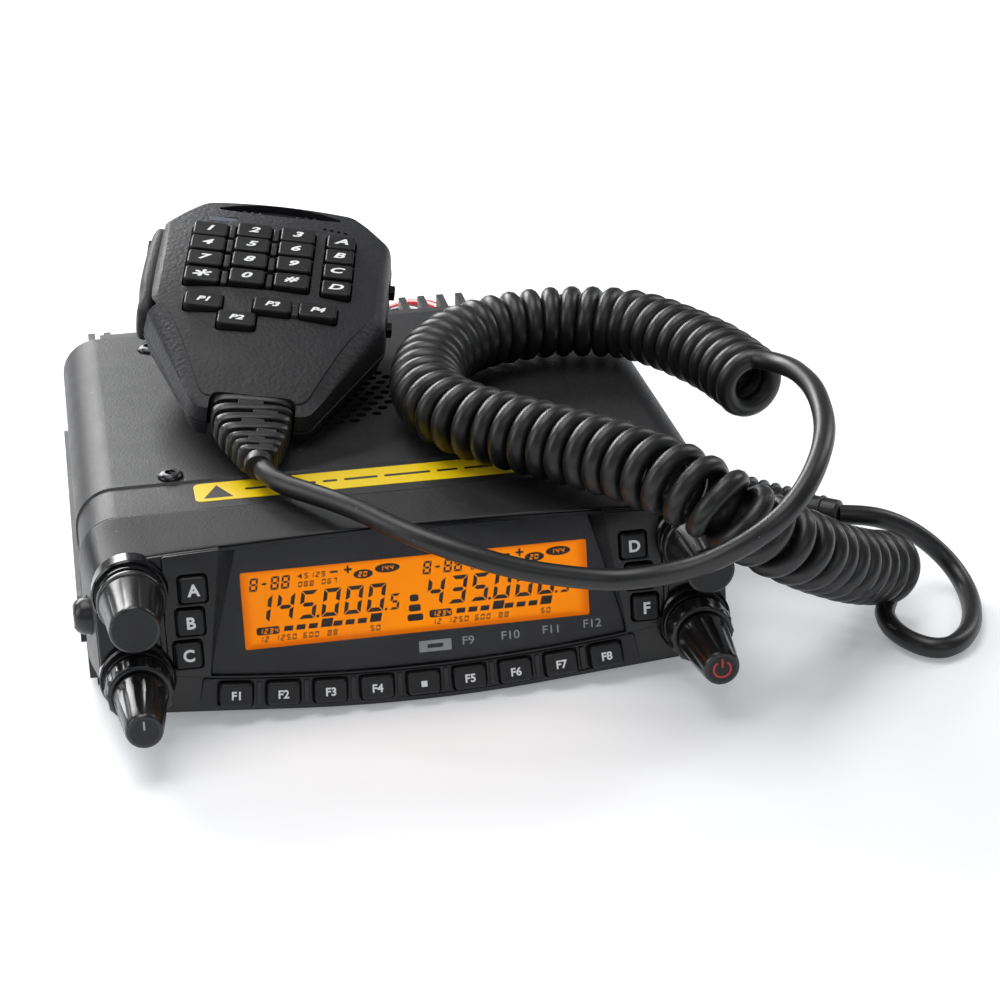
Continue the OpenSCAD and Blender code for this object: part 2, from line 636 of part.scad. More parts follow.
module mic_ptt() {
    color([0.06, 0.06, 0.065]) on_mic() {
        hull() for (y = [-17.5, 20.2], z = [-17.8, -8.2]) translate([-27.6, y, z]) {
            translate([-1.6, y > 0 ? -2 : 2, 0]) sphere(r = 1.2, $fn = 20);
            cube([0.8, 2.2, 2.4], center = true);
        }
        // pivot pin
        translate([-28.1, -17, -19.5]) cylinder(r = 0.7, h = 13, $fn = 20);
    }
}

module mic_rocker() {
    color([0.05, 0.05, 0.05]) on_mic() {
        translate([-13, 24, -9.4]) cube([26, 3.6, 4.4]);
        for (s = [-1, 1]) translate([s * 8.5 - 3, 26, -8.4]) cube([6, 2.4, 2.4]);
        translate([-1.5, 22.9, -9.4]) cube([3, 1.4, 4.4]);
        translate([0, 23.9, -9.9]) cylinder(r = 0.8, h = 5.4, $fn = 20);
    }
}

module side_switch(y) {
    color([0.04, 0.04, 0.04]) on_mic() {
        translate([26.4, y - 1.6, -12.4]) cube([1.2, 3.2, 4]);
        translate([27.4, y - 1, -11.6]) cube([2, 2, 2.4]);
    }
}

module mic_board() {
    color([0.05, 0.25, 0.12]) on_mic() {
        translate([-19.5, -30, -12.2]) cube([39, 51, 1.4]);
        translate([12, 17.6, -10.9]) cylinder(r = 3, h = 3);
        translate([-12, -20, -16.6]) cube([20, 24, 4.6]);
    }
}

module mic_hanger() {
    color([0.08, 0.08, 0.08]) on_mic() translate([0, 12, 0]) {
        translate([0, 0, -29]) cylinder(r = 3, h = 8);
        translate([0, 0, -31.7]) cylinder(r1 = 6.6, r2 = 7, h = 1.6);
        translate([0, 0, -30.2]) cylinder(r = 4.5, h = 4.2);
    }
}

module mic_screws() {
    color([0.5, 0.5, 0.52]) on_mic() for (x = [-13, 13], y = [17, -29])
        translate([x, y, y > 0 ? -25 : -21.8]) {
            cylinder(r = 2, h = 1, $fn = 24);
            cylinder(r = 1.15, h = 7, $fn = 20);
        }
}

module mic_boot() {
    color([0.06, 0.06, 0.06]) on_mic() {
        hull() {
            translate([-6.8, -50.5, -16.6]) cube([13.6, 3, 7.4]);
            translate([2.9, -68, -10.2]) sphere(r = 3.3, $fn = 24);
        }
        for (i = [0 : 4]) translate([0.6 * i - 0.3, -54.4 - 3.1 * i, -12.8 + 0.55 * i])
            cube([14.6 - 2.1 * i, 1.5, 8.6 - 0.5 * i], center = true);
        hull() {
            translate([2.7, -66, -10.5]) sphere(r = 3.3, $fn = 24);
            translate([3.5, -71, -9.3]) sphere(r = 2.9, $fn = 24);
        }
    }
}

// ---- Cords ----

module mic_lead() { color([0.05, 0.05, 0.05]) tube(lead_pts, cord_d / 2, 10); }
module mic_coil() { color([0.05, 0.05, 0.05]) tube(coil_pts, coil_d / 2, 12); }
module mic_tail() { color([0.05, 0.05, 0.05]) tube(tail_pts, cord_d / 2, 10); }
module power_lead_red() { color([0.75, 0.04, 0.05]) tube(red_pts, wire_d / 2, 10); }
module power_lead_black() { color([0.05, 0.05, 0.05]) tube(black_pts, wire_d / 2, 10); }

module mic_plug() {
    color([0.06, 0.06, 0.06]) translate([0, port_at[0], port_at[1]]) {
        translate([58, -5.85, -3.9]) cube([14, 11.7, 7.8]);
        translate([71, -7, -5.6]) cube([9, 14, 11.2]);
        translate([77, -1, 0]) rotate([0, 88, -38]) {
            cylinder(r1 = 6, r2 = 3.4, h = 31);
            for (i = [0 : 6]) translate([0, 0, 6 + 3.2 * i])
                cylinder(r = 6.1 - 0.32 * i, h = 1.4, $fn = 28);
        }
    }
}

module power_plug() {
    color([0.85, 0.85, 0.83]) translate([-44, 111, 4.6]) difference() {
        union() {
            translate([-16, -5.6, -4.1]) cube([16, 11.2, 8.2]);
            translate([-12, -6.6, -4.5]) cube([5, 13.2, 9]);
        }
        for (s = [-1, 1]) translate([0.1, s * 2.5, 0]) rotate([0, -90, 0])
            cylinder(d = wire_d + 0.1, h = 4, $fn = 24);
        for (s = [-1, 1]) translate([-15.9, s * 2.7, 0]) rotate([0, 90, 0])
            translate([0, 0, -1]) cylinder(r = 1.9, h = 9, $fn = 24);
    }
}

chassis();
top_cover();
bottom_cover();
cover_screws();
main_board();
loudspeaker();
fan_frame();
fan_rotor();
antenna_socket();
rear_jacks();
mic_socket();
head_case();
head_bezel();
lens();
lcd_panel();
head_board();
control_bodies();
dial_shaft(-1);  // left_dial_shaft
dial_knob(-1);  // left_dial_knob
dial_shaft(1);  // right_dial_shaft
dial_knob(1);  // right_dial_knob
volume_knob(-1);  // left_volume_knob
squelch_ring(-1);  // left_squelch_ring
volume_knob(1);  // right_volume_knob
squelch_ring(1);  // right_squelch_ring
row_key(1);  // key_row_1
row_key(2);  // key_row_2
row_key(3);  // key_row_3
row_key(4);  // key_row_4
row_key(5);  // key_row_5
row_key(6);  // key_row_6
row_key(7);  // key_row_7
row_key(8);  // key_row_8
row_key(9);  // key_row_9
side_key_at(0);  // key_a
side_key_at(1);  // key_b
side_key_at(2);  // key_c
side_key_at(3);  // key_d
side_key_at(4);  // key_e
side_key_at(5);  // key_f
release_button();
mic_front_shell();
mic_rear_shell();
mic_keypad();
mic_ptt();
mic_rocker();
side_switch(5.4);  // mic_lock_slide
side_switch(-10.9);  // mic_lamp_slide
mic_board();
mic_hanger();
mic_screws();
mic_boot();
mic_lead();
mic_coil();
mic_tail();
mic_plug();
power_gland();
power_lead_red();
power_lead_black();
power_plug();
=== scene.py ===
"""Mobile transceiver: its finished surfaces, print, keys and cords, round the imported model."""
import sys

import json
import math

import bmesh
import bpy
from bpy.props import FloatProperty, FloatVectorProperty, IntProperty, PointerProperty
from mathutils import Matrix, Vector
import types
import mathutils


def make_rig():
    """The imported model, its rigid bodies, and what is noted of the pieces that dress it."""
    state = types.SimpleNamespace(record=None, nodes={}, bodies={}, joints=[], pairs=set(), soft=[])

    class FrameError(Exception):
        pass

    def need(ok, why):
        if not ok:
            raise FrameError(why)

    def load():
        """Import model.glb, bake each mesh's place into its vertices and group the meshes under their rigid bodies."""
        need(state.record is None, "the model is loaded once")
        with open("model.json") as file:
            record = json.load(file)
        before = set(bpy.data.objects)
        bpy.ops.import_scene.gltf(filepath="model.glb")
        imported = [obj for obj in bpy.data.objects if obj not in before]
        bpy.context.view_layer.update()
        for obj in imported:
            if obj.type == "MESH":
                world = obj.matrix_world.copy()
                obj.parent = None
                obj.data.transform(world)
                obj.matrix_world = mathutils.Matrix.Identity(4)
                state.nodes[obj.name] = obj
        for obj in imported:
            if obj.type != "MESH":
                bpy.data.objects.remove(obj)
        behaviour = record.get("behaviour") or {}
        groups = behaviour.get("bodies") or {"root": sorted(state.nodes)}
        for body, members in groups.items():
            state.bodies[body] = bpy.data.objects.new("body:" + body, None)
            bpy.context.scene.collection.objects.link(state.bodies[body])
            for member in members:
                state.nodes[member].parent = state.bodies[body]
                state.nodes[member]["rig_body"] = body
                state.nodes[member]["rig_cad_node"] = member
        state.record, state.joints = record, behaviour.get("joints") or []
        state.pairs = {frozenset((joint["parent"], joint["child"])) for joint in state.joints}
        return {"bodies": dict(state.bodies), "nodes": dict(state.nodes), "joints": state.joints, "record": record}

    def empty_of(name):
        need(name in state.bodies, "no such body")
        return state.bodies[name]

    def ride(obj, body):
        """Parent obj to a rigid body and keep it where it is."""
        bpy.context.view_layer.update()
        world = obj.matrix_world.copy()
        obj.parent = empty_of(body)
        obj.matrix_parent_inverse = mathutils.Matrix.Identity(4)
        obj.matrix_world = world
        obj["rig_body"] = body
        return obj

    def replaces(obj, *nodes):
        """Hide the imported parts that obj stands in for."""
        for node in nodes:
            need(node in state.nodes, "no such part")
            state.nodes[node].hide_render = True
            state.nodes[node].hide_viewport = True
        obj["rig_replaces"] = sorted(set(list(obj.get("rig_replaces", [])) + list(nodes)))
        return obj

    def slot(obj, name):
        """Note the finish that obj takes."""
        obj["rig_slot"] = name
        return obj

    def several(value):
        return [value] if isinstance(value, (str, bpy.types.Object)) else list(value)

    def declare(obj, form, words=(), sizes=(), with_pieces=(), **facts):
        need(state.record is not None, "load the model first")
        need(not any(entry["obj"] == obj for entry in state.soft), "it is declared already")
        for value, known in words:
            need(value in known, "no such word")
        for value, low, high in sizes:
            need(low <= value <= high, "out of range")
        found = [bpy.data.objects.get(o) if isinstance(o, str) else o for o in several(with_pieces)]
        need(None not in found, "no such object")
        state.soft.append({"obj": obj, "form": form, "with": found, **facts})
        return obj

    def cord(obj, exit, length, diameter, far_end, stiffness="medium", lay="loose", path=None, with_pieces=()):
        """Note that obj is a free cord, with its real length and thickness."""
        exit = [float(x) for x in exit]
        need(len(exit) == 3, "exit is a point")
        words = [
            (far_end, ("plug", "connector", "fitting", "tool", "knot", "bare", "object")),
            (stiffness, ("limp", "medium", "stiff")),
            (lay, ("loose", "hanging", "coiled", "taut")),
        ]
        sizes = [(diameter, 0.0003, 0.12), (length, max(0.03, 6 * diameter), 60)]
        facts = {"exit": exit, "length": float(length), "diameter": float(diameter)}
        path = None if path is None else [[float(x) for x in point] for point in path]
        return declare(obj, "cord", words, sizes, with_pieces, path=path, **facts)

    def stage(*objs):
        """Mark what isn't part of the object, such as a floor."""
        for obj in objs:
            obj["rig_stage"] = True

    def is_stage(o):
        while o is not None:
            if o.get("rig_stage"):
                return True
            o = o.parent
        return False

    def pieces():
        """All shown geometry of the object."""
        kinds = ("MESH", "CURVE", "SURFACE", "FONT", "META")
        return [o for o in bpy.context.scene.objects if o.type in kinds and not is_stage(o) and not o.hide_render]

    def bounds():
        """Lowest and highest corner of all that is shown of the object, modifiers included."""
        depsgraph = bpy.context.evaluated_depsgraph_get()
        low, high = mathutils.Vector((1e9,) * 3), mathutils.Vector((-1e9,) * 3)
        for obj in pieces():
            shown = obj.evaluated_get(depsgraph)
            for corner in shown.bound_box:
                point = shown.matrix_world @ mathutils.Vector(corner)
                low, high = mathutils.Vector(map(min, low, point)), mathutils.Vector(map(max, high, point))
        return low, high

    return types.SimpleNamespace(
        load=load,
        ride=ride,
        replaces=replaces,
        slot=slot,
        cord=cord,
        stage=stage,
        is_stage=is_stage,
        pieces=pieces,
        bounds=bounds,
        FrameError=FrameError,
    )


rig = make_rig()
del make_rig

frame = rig.load()
CAD_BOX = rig.bounds()

bl_info = {
    "name": "Mobile transceiver",
    "version": (1, 0, 0),
    "blender": (4, 5, 0),
    "location": "View3D > Sidebar > Transceiver",
    "description": "Makes the radio body, control head, microphone and cords of a mobile transceiver",
    "category": "Object",
}

MM = 0.001
FACE_LEAN = 11.0
FACE_FOOT = -77.4
KNOB_X = 60.0
DIAL_Z = 30.0
VOLUME_Z = 12.0
DIAL_Y = 73.5
VOLUME_Y = 77.1
KEY_PITCH = 10.0
PAD_STEP = (10.5, 6.7)
# Number keys and letter keys of the microphone: x of the middle, columns, width of a key
PAD_BLOCKS = ((-5.25, 3, 8.2), (15.75, 1, 6.8))
PAD_Y = -0.6
PAD_KEY_DEPTH = 5.9
CORD_LENGTH = 2.55
WIRE_LENGTHS = {"power_wire_red": 0.117, "power_wire_black": 0.109}
SIDES = (("left", -1), ("right", 1))

# Routes of the cords, in millimetres
LEAD_ROUTE = [
    (-29.3, -42, 44.5), (-29.2, -46, 44.1), (-26.5, -51, 43.4), (-20, -58, 43.2),
    (-12, -68, 43.2), (-4, -77, 41.6), (3.2, -83, 40.1), (11, -87, 38), (19, -89.5, 35.8),
    (27, -91.5, 34.4), (38, -94, 33.3), (46.5, -97, 35), (53.5, -101, 38), (60.5, -105, 43),
    (69, -106, 48.8), (77.5, -99, 54), (84.8, -85, 58), (88.2, -68, 59.6), (89.4, -52, 58),
    (88.6, -42, 56.4), (84.8, -34, 55.4),
]
COIL_ROUTE = [
    (84, -34.5, 49.2), (79.5, -14, 49.2), (68, 8, 49.2), (54, 15.5, 49.2), (40, 16, 49.2),
    (26.5, 11, 49.2), (16.5, -1, 49.2), (12, -15, 49.2), (12, -28, 49.2), (16.5, -39, 49.2),
    (25, -48.5, 49.2), (34, -58, 49.2), (43, -68, 49.3), (51, -78, 49), (57, -84.8, 47.4),
    (63, -89.6, 44.6), (70.5, -90, 39), (79, -86.5, 33), (86.3, -80, 27), (93.5, -73.5, 21.5),
    (101, -65.5, 16), (107.5, -59, 12), (111.5, -55, 9.4),
]
TAIL_ROUTE = [
    (108, -60.5, 5), (106.4, -66.5, 3.2), (107, -73, 2.6), (109.8, -79.6, 2.6),
    (114.6, -82.6, 2.6), (121, -78, 2.6), (126, -69, 2.6), (128.8, -58, 3.2),
    (127.6, -50.2, 6.4), (122.4, -46.8, 11.6), (115.4, -46.4, 16.4), (108.4, -46.6, 19.2),
    (101.2, -46.2, 20.1),
]
RED_ROUTE = [
    (32, 62, 27), (32.5, 74, 28.5), (31, 88, 29), (24, 100, 26.5), (12, 108, 19),
    (-3, 112, 10), (-18, 113, 5), (-32, 113.5, 4.6), (-44, 113.5, 4.6),
]
BLACK_ROUTE = [
    (28, 62, 27), (28, 74, 28.5), (26.5, 85, 29), (20.5, 95.5, 26.5), (9.5, 103, 19),
    (-4.5, 107, 10), (-18.5, 108.2, 5), (-32, 108.5, 4.6), (-44, 108.5, 4.6),
]


def turn(axis, degrees):
    return Matrix.Rotation(math.radians(degrees), 4, axis)


def move(x, y, z):
    return Matrix.Translation((x, y, z))


# Places of the parts, each with its own x, y and z in millimetres
BODY = Matrix.Identity(4)
FACE = move(0, FACE_FOOT, 0) @ turn("X", 90 - FACE_LEAN)
MIC = move(-17.9, 24.3, 70) @ turn("Z", -11.6) @ turn("X", 13.2) @ turn("Y", 8.3)
PLUG = move(77, -27, 19) @ turn("Z", -38) @ turn("Y", 88)
RELEASE = move(0, -62.5, 22) @ turn("Y", -90)


def knob_place(side, height):
    return move(side * KNOB_X, 0, height) @ turn("X", 90)


def row_key_place(number):
    x = (number - 5) * KEY_PITCH
    up = 5.1 + 1.75 * (x / 40) ** 2
    return FACE @ move(x, up, 0) @ turn("Z", math.degrees(math.atan(3.5 * x / 1600)))


def side_key_place(number):
    side = -1 if number < 3 else 1
    step = number % 3
    return FACE @ move(side * (47.1 + 1.05 * step), 30.6 - 7 * step, 0)


def pad_crown(x, y):
    """Height of the microphone's face over its flat plane."""
    return -0.0033 * x * x - 0.0031 * y * y


# ---- What a user would change ----


class TransceiverSizes(bpy.types.PropertyGroup):
    """Sizes in metres"""

    vent_hole: FloatProperty(
        name="Vent hole", description="Diameter of a hole over the loudspeaker",
        default=0.0024, min=0.001, max=0.0035, unit="LENGTH")
    vent_pitch: FloatProperty(
        name="Vent pitch", description="Distance between two holes",
        default=0.0037, min=0.002, max=0.006, unit="LENGTH")
    vent_field: FloatProperty(
        name="Vent field", description="Radius of the round field of holes",
        default=0.021, min=0.01, max=0.024, unit="LENGTH")
    coil_turns_near: FloatProperty(
        name="Turn spacing, upper end", description="Spacing of the turns on the cover",
        default=0.0049, min=0.0047, max=0.008, unit="LENGTH")
    coil_turns_far: FloatProperty(
        name="Turn spacing, lower end", description="Spacing of the turns where the coil hangs",
        default=0.0058, min=0.0047, max=0.01, unit="LENGTH")
    coil_width: FloatProperty(
        name="Coil width", description="Outer diameter of the curly part",
        default=0.0174, min=0.012, max=0.022, unit="LENGTH")
    cord: FloatProperty(
        name="Cord", description="Diameter of the microphone cord",
        default=0.0046, min=0.0035, max=0.006, unit="LENGTH")
    wire: FloatProperty(
        name="Power wire", description="Diameter of each power wire",
        default=0.003, min=0.002, max=0.004, unit="LENGTH")
    print_height: FloatProperty(
        name="Print height", description="How far print stands proud of its surface",
        default=0.00003, min=0.00001, max=0.0001, unit="LENGTH")
    dial_flutes: IntProperty(
        name="Dial flutes", description="Shallow flutes round a dial", default=12, min=0, max=40)


class TransceiverColours(bpy.types.PropertyGroup):
    """Base colours"""

    cover: FloatVectorProperty(
        name="Cover", description="Powder coat of the covers", subtype="COLOR", size=3,
        default=(0.014, 0.0142, 0.0155), min=0, max=1)
    head: FloatVectorProperty(
        name="Head", description="Moulding of the control head", subtype="COLOR", size=3,
        default=(0.014, 0.0142, 0.0154), min=0, max=1)
    microphone: FloatVectorProperty(
        name="Microphone", description="Grained moulding of the microphone", subtype="COLOR",
        size=3, default=(0.021, 0.0213, 0.0236), min=0, max=1)
    display: FloatVectorProperty(
        name="Display", description="Light of the display", subtype="COLOR", size=3,
        default=(1.0, 0.245, 0.0), min=0, max=1)
    label: FloatVectorProperty(
        name="Strip", description="Yellow strip on the cover", subtype="COLOR", size=3,
        default=(0.90, 0.63, 0.004), min=0, max=1)
    cord: FloatVectorProperty(
        name="Cord", description="Soft PVC of the microphone cord", subtype="COLOR", size=3,
        default=(0.0085, 0.0085, 0.009), min=0, max=1)
    red_wire: FloatVectorProperty(
        name="Positive wire", description="Insulation of the positive wire", subtype="COLOR",
        size=3, default=(0.60, 0.012, 0.012), min=0, max=1)


def sizes():
    return bpy.context.scene.transceiver_sizes


def colours():
    return bpy.context.scene.transceiver_colours


# ---- Finishes ----


def add_node(tree, kind, settings=None, inputs=None):
    """A node with its settings, and its inputs linked or set."""
    made = tree.nodes.new(kind)
    for key, value in (settings or {}).items():
        setattr(made, key, value)
    for key, value in (inputs or {}).items():
        value = getattr(value, "socket", value)
        if isinstance(value, bpy.types.NodeSocket):
            tree.links.new(value, made.inputs[key])
        else:
            made.inputs[key].default_value = value
    return made


class Flow:
    """A shader socket that takes part in sums."""

    def __init__(self, finish, socket):
        self.finish = finish
        self.socket = socket

    def __add__(self, other):
        return self.finish.sum("ADD", self, other)

    def __sub__(self, other):
        return self.finish.sum("SUBTRACT", self, other)

    def __rsub__(self, other):
        return self.finish.sum("SUBTRACT", other, self)

    def __mul__(self, other):
        return self.finish.sum("MULTIPLY", self, other)

    def __lt__(self, other):
        return self.finish.sum("LESS_THAN", self, other)

    __radd__ = __add__
    __rmul__ = __mul__


class Finish:
    """One procedural material and its node tree."""

    def __init__(self, name, colour, roughness=0.5, **fixed):
        self.material = bpy.data.materials.new(name)
        self.material.use_nodes = True
        self.tree = self.material.node_tree
        self.tree.nodes.clear()
        output = self.tree.nodes.new("ShaderNodeOutputMaterial")
        self.shader = self.tree.nodes.new("ShaderNodeBsdfPrincipled")
        self.tree.links.new(self.shader.outputs[0], output.inputs[0])
        self.colour = tuple(colour[:3]) + (1.0,)
        self.set("Base Color", self.colour)
        self.set("Roughness", roughness)
        for key, value in fixed.items():
            self.set(key.replace("_", " "), value)
        self.height = None
        self.place = self.node("ShaderNodeTexCoord").outputs["Object"]
        self.material.diffuse_color = self.colour

    def set(self, name, value):
        if isinstance(value, Flow):
            self.tree.links.new(value.socket, self.shader.inputs[name])
        else:
            self.shader.inputs[name].default_value = value

    def node(self, kind, settings=None, inputs=None):
        return add_node(self.tree, kind, settings, inputs)

    def sum(self, operation, first, second=0.0, clamp=False):
        made = self.node("ShaderNodeMath", {"operation": operation, "use_clamp": clamp},
                         {0: first, 1: second})
        return Flow(self, made.outputs[0])

    def clamp(self, value):
        return self.sum("ADD", value, 0.0, clamp=True)

    def dot(self, direction):
        made = self.node("ShaderNodeVectorMath", {"operation": "DOT_PRODUCT"},
                         {0: self.place, 1: direction})
        return Flow(self, made.outputs["Value"])

    def stretched(self, scale, rotation=(0, 0, 0)):
        made = self.node("ShaderNodeMapping", None,
                         {"Vector": self.place, "Scale": scale, "Rotation": rotation})
        return made.outputs[0]

    def noise(self, size, detail=2.0, roughness=0.5, vector=None, distortion=0.0):
        """Noise with lumps of about size, in metres."""
        made = self.node("ShaderNodeTexNoise", None, {
            "Vector": vector or self.place, "Scale": 1 / size, "Detail": detail,
            "Roughness": roughness, "Distortion": distortion})
        return Flow(self, made.outputs[0])

    def cells(self, size, feature="F1", smoothness=0.5):
        """Distance to the middle of the nearest of many cells, size apart in metres."""
        settings = {"feature": feature}
        inputs = {"Vector": self.place, "Scale": 1 / size, "Randomness": 1.0}
        if feature == "SMOOTH_F1":
            inputs["Smoothness"] = smoothness
        return Flow(self, self.node("ShaderNodeTexVoronoi", settings, inputs).outputs["Distance"])

    def band(self, value, low, high):
        """0 below low, 1 above high and a smooth rise between."""
        made = self.node("ShaderNodeMapRange", {"interpolation_type": "SMOOTHSTEP"}, {
            "Value": value, "From Min": low, "From Max": high, "To Min": 0.0, "To Max": 1.0})
        return Flow(self, made.outputs[0])

    def blend(self, factor, first, second):
        made = self.node("ShaderNodeMix", {"data_type": "RGBA"}, {
            0: factor, 6: first if isinstance(first, Flow) else tuple(first[:3]) + (1.0,),
            7: second if isinstance(second, Flow) else tuple(second[:3]) + (1.0,)})
        return Flow(self, made.outputs[2])

    def shaded(self, share):
        """The base colour, lighter for a share above 1 and darker below."""
        return tuple(min(1.0, c * share) for c in self.colour[:3])

    def raise_by(self, height):
        """Adds a height in metres to the bump."""
        self.height = height if self.height is None else self.height + height

    def done(self, strength=1.0):
        if self.height is not None:
            bump = self.node("ShaderNodeBump", None, {
                "Strength": strength, "Distance": 1.0, "Height": self.height})
            self.tree.links.new(bump.outputs[0], self.shader.inputs["Normal"])
        return self.material


def moulded(name, colour, rough, grain, depth, mottle=0.18, smudge=0.08, speck=0.0, **fixed):
    """Moulded or coated surface: cloudy colour, uneven gloss, fine grain and a few lint specks."""
    made = Finish(name, colour, rough, **fixed)
    cloud = made.noise(0.018, 3.0)
    fine = made.noise(grain * 2.2, 2.0)
    tone = made.blend(made.band(cloud * 0.6 + fine * 0.4, 0.36, 0.64), made.shaded(1 - mottle),
                      made.shaded(1 + mottle))
    if speck:
        lint = made.cells(0.0042) < 0.035
        tone = made.blend(lint * speck, tone, (0.35, 0.36, 0.37))
    made.set("Base Color", tone)
    wipe = made.noise(0.011, 4.0, 0.62, distortion=0.6)
    made.set("Roughness", made.clamp(rough + (wipe - 0.5) * smudge * 2 + (fine - 0.5) * 0.12))
    made.raise_by(made.noise(grain, 3.0, 0.6) * depth)
    return made


def finish_cover():
    """Fine-textured powder coat: small rounded lumps with a sanded sparkle."""
    made = moulded("powder_coat", colours().cover, 0.45, 0.00045, 0.00005, 0.16, 0.07, 0.5,
                   Specular_IOR_Level=0.34)
    lumps = made.cells(0.00055, "SMOOTH_F1", 0.7)
    made.raise_by(lumps * -0.00007)
    made.raise_by(made.noise(0.00028, 2.0, 0.7) * 0.00005)
    return made.done(0.5)


def finish_casting():
    """Painted die casting: coarser skin with pits and slightly rubbed high spots."""
    made = moulded("painted_casting", (0.026, 0.0265, 0.029), 0.5, 0.0011, 0.00016, 0.22, 0.1)
    made.raise_by(made.band(made.cells(0.0022), 0.0, 0.28) * 0.00006)
    return made.done(0.6)


def finish_head():
    """Spark-eroded moulding of the control head."""
    made = moulded("head_moulding", colours().head, 0.4, 0.00045, 0.00006, 0.15, 0.08, 0.35,
                   Specular_IOR_Level=0.34)
    made.raise_by(made.cells(0.0006, "SMOOTH_F1", 0.6) * -0.00005)
    return made.done(0.5)


def finish_gloss():
    """Polished black moulding with wipe marks and hairline scratches."""
    made = moulded("gloss_black", (0.0065, 0.0066, 0.0075), 0.17, 0.0016, 0.000012, 0.2, 0.09,
                   0.25, Specular_IOR_Level=0.42)
    hair = made.noise(0.00035, 2.0, 0.5, made.stretched((1.0, 14.0, 14.0), (0, 0, 0.4)))
    made.raise_by(made.band(hair, 0.62, 0.72) * 0.000006)
    return made.done(0.5)


def finish_knob():
    """Semi-gloss knob skin with fine turning lines."""
    made = moulded("knob_black", (0.0085, 0.0086, 0.0095), 0.3, 0.0009, 0.00001, 0.2, 0.08, 0.2,
                   Coat_Weight=0.12, Coat_Roughness=0.2)
    rings = made.noise(0.0003, 1.0, 0.5, made.stretched((0.03, 5.0, 0.03)))
    made.raise_by(rings * 0.000008)
    return made.done(0.5)


def finish_lens():
    """Clear acrylic with a faint haze, see-through to the display."""
    made = Finish("clear_lens", (0.05, 0.05, 0.055), 0.12, IOR=1.49)
    haze = made.band(made.noise(0.014, 4.0, 0.6), 0.35, 0.75)
    made.set("Base Color", made.blend(haze, (0.03, 0.03, 0.034), (0.09, 0.09, 0.095)))
    made.set("Roughness", made.clamp(0.09 + haze * 0.12))
    dust = made.cells(0.0038) < 0.03
    made.set("Alpha", made.clamp(0.03 + haze * 0.02 + dust * 0.3))
    made.raise_by(made.noise(0.009, 2.0) * 0.00001)
    made.material.surface_render_method = "BLENDED"
    return made.done(0.4)


def finish_display():
    """Back-lit amber display: brighter middle, darker rim and a faint fine-grained bump."""
    made = Finish("amber_display", colours().display, 0.5, Specular_IOR_Level=0.1)
    up = made.dot((0, 0.1908, 0.9816)) - 0.1908 * FACE_FOOT * MM
    across = made.dot((1, 0, 0))
    rim_x = made.band(made.sum("ABSOLUTE", across), 0.0345, 0.0372)
    rim_y = made.band(made.sum("ABSOLUTE", up - 0.0242), 0.0069, 0.0084)
    rim = made.sum("MAXIMUM", rim_x, rim_y)
    cloud = made.noise(0.022, 2.0)
    light = made.blend(cloud, made.shaded(0.86), (1.0, 0.29, 0.0))
    light = made.blend(rim * 0.75, light, (0.62, 0.10, 0.0))
    made.set("Base Color", made.blend(rim, (0.2, 0.06, 0.0), (0.1, 0.03, 0.0)))
    made.set("Emission Color", light)
    made.set("Emission Strength", 0.92)
    made.set("Roughness", made.clamp(0.45 + cloud * 0.12))
    made.raise_by(made.noise(0.0006, 2.0) * 0.000008)
    return made.done(0.3)


def finish_yellow():
    """Printed yellow strip: even ink with a faint fibre and wiped gloss."""
    made = moulded("yellow_strip", colours().label, 0.36, 0.0005, 0.000012, 0.05, 0.07, 0.0)
    made.raise_by(made.noise(0.0022, 2.0) * 0.00002)
    return made.done(0.5)


def finish_microphone():
    """Leather-like moulded grain."""
    made = moulded("microphone_grain", colours().microphone, 0.5, 0.00055, 0.00007, 0.12, 0.07,
                   0.4, Specular_IOR_Level=0.28)
    leather = made.cells(0.00105, "SMOOTH_F1", 0.35)
    made.raise_by(leather * -0.00016)
    made.raise_by(made.noise(0.004, 3.0) * 0.00008)
    return made.done(0.55)


def finish_soft_black():
    """Soft-touch moulding of the talk lever and switches."""
    made = moulded("soft_black", (0.019, 0.0192, 0.0205), 0.33, 0.0006, 0.00003, 0.16, 0.1, 0.2)
    made.raise_by(made.noise(0.003, 3.0) * 0.00004)
    return made.done(0.5)


def finish_cord():
    """Satin soft PVC with a slight orange peel and handling marks."""
    made = moulded("cord_pvc", colours().cord, 0.4, 0.0009, 0.00001, 0.25, 0.05, 0.4,
                   Specular_IOR_Level=0.55)
    made.raise_by(made.noise(0.00035, 2.0) * 0.00001)
    return made.done(0.4)


def finish_red_wire():
    made = moulded("red_wire", colours().red_wire, 0.3, 0.001, 0.00002, 0.1, 0.08)
    return made.done(0.5)


def finish_nylon():
    """Natural nylon, a little cloudy."""
    made = moulded("natural_nylon", (0.55, 0.54, 0.49), 0.42, 0.0008, 0.00003, 0.05, 0.06, 0.0,
                   Subsurface_Weight=0.15, Subsurface_Radius=(0.004, 0.0035, 0.003))
    return made.done(0.5)


def finish_nickel():
    """Nickel plate with turning marks and dull patches."""
    made = Finish("nickel", (0.70, 0.675, 0.62), 0.2, Metallic=1.0)
    dull = made.band(made.noise(0.006, 4.0, 0.65), 0.42, 0.68)
    made.set("Base Color", made.blend(dull, (0.74, 0.72, 0.67), (0.50, 0.47, 0.41)))
    made.set("Roughness", made.clamp(0.16 + dull * 0.2))
    made.raise_by(made.noise(0.0004, 1.0, 0.5, made.stretched((0.05, 3.0, 0.05))) * 0.00002)
    return made.done(0.5)


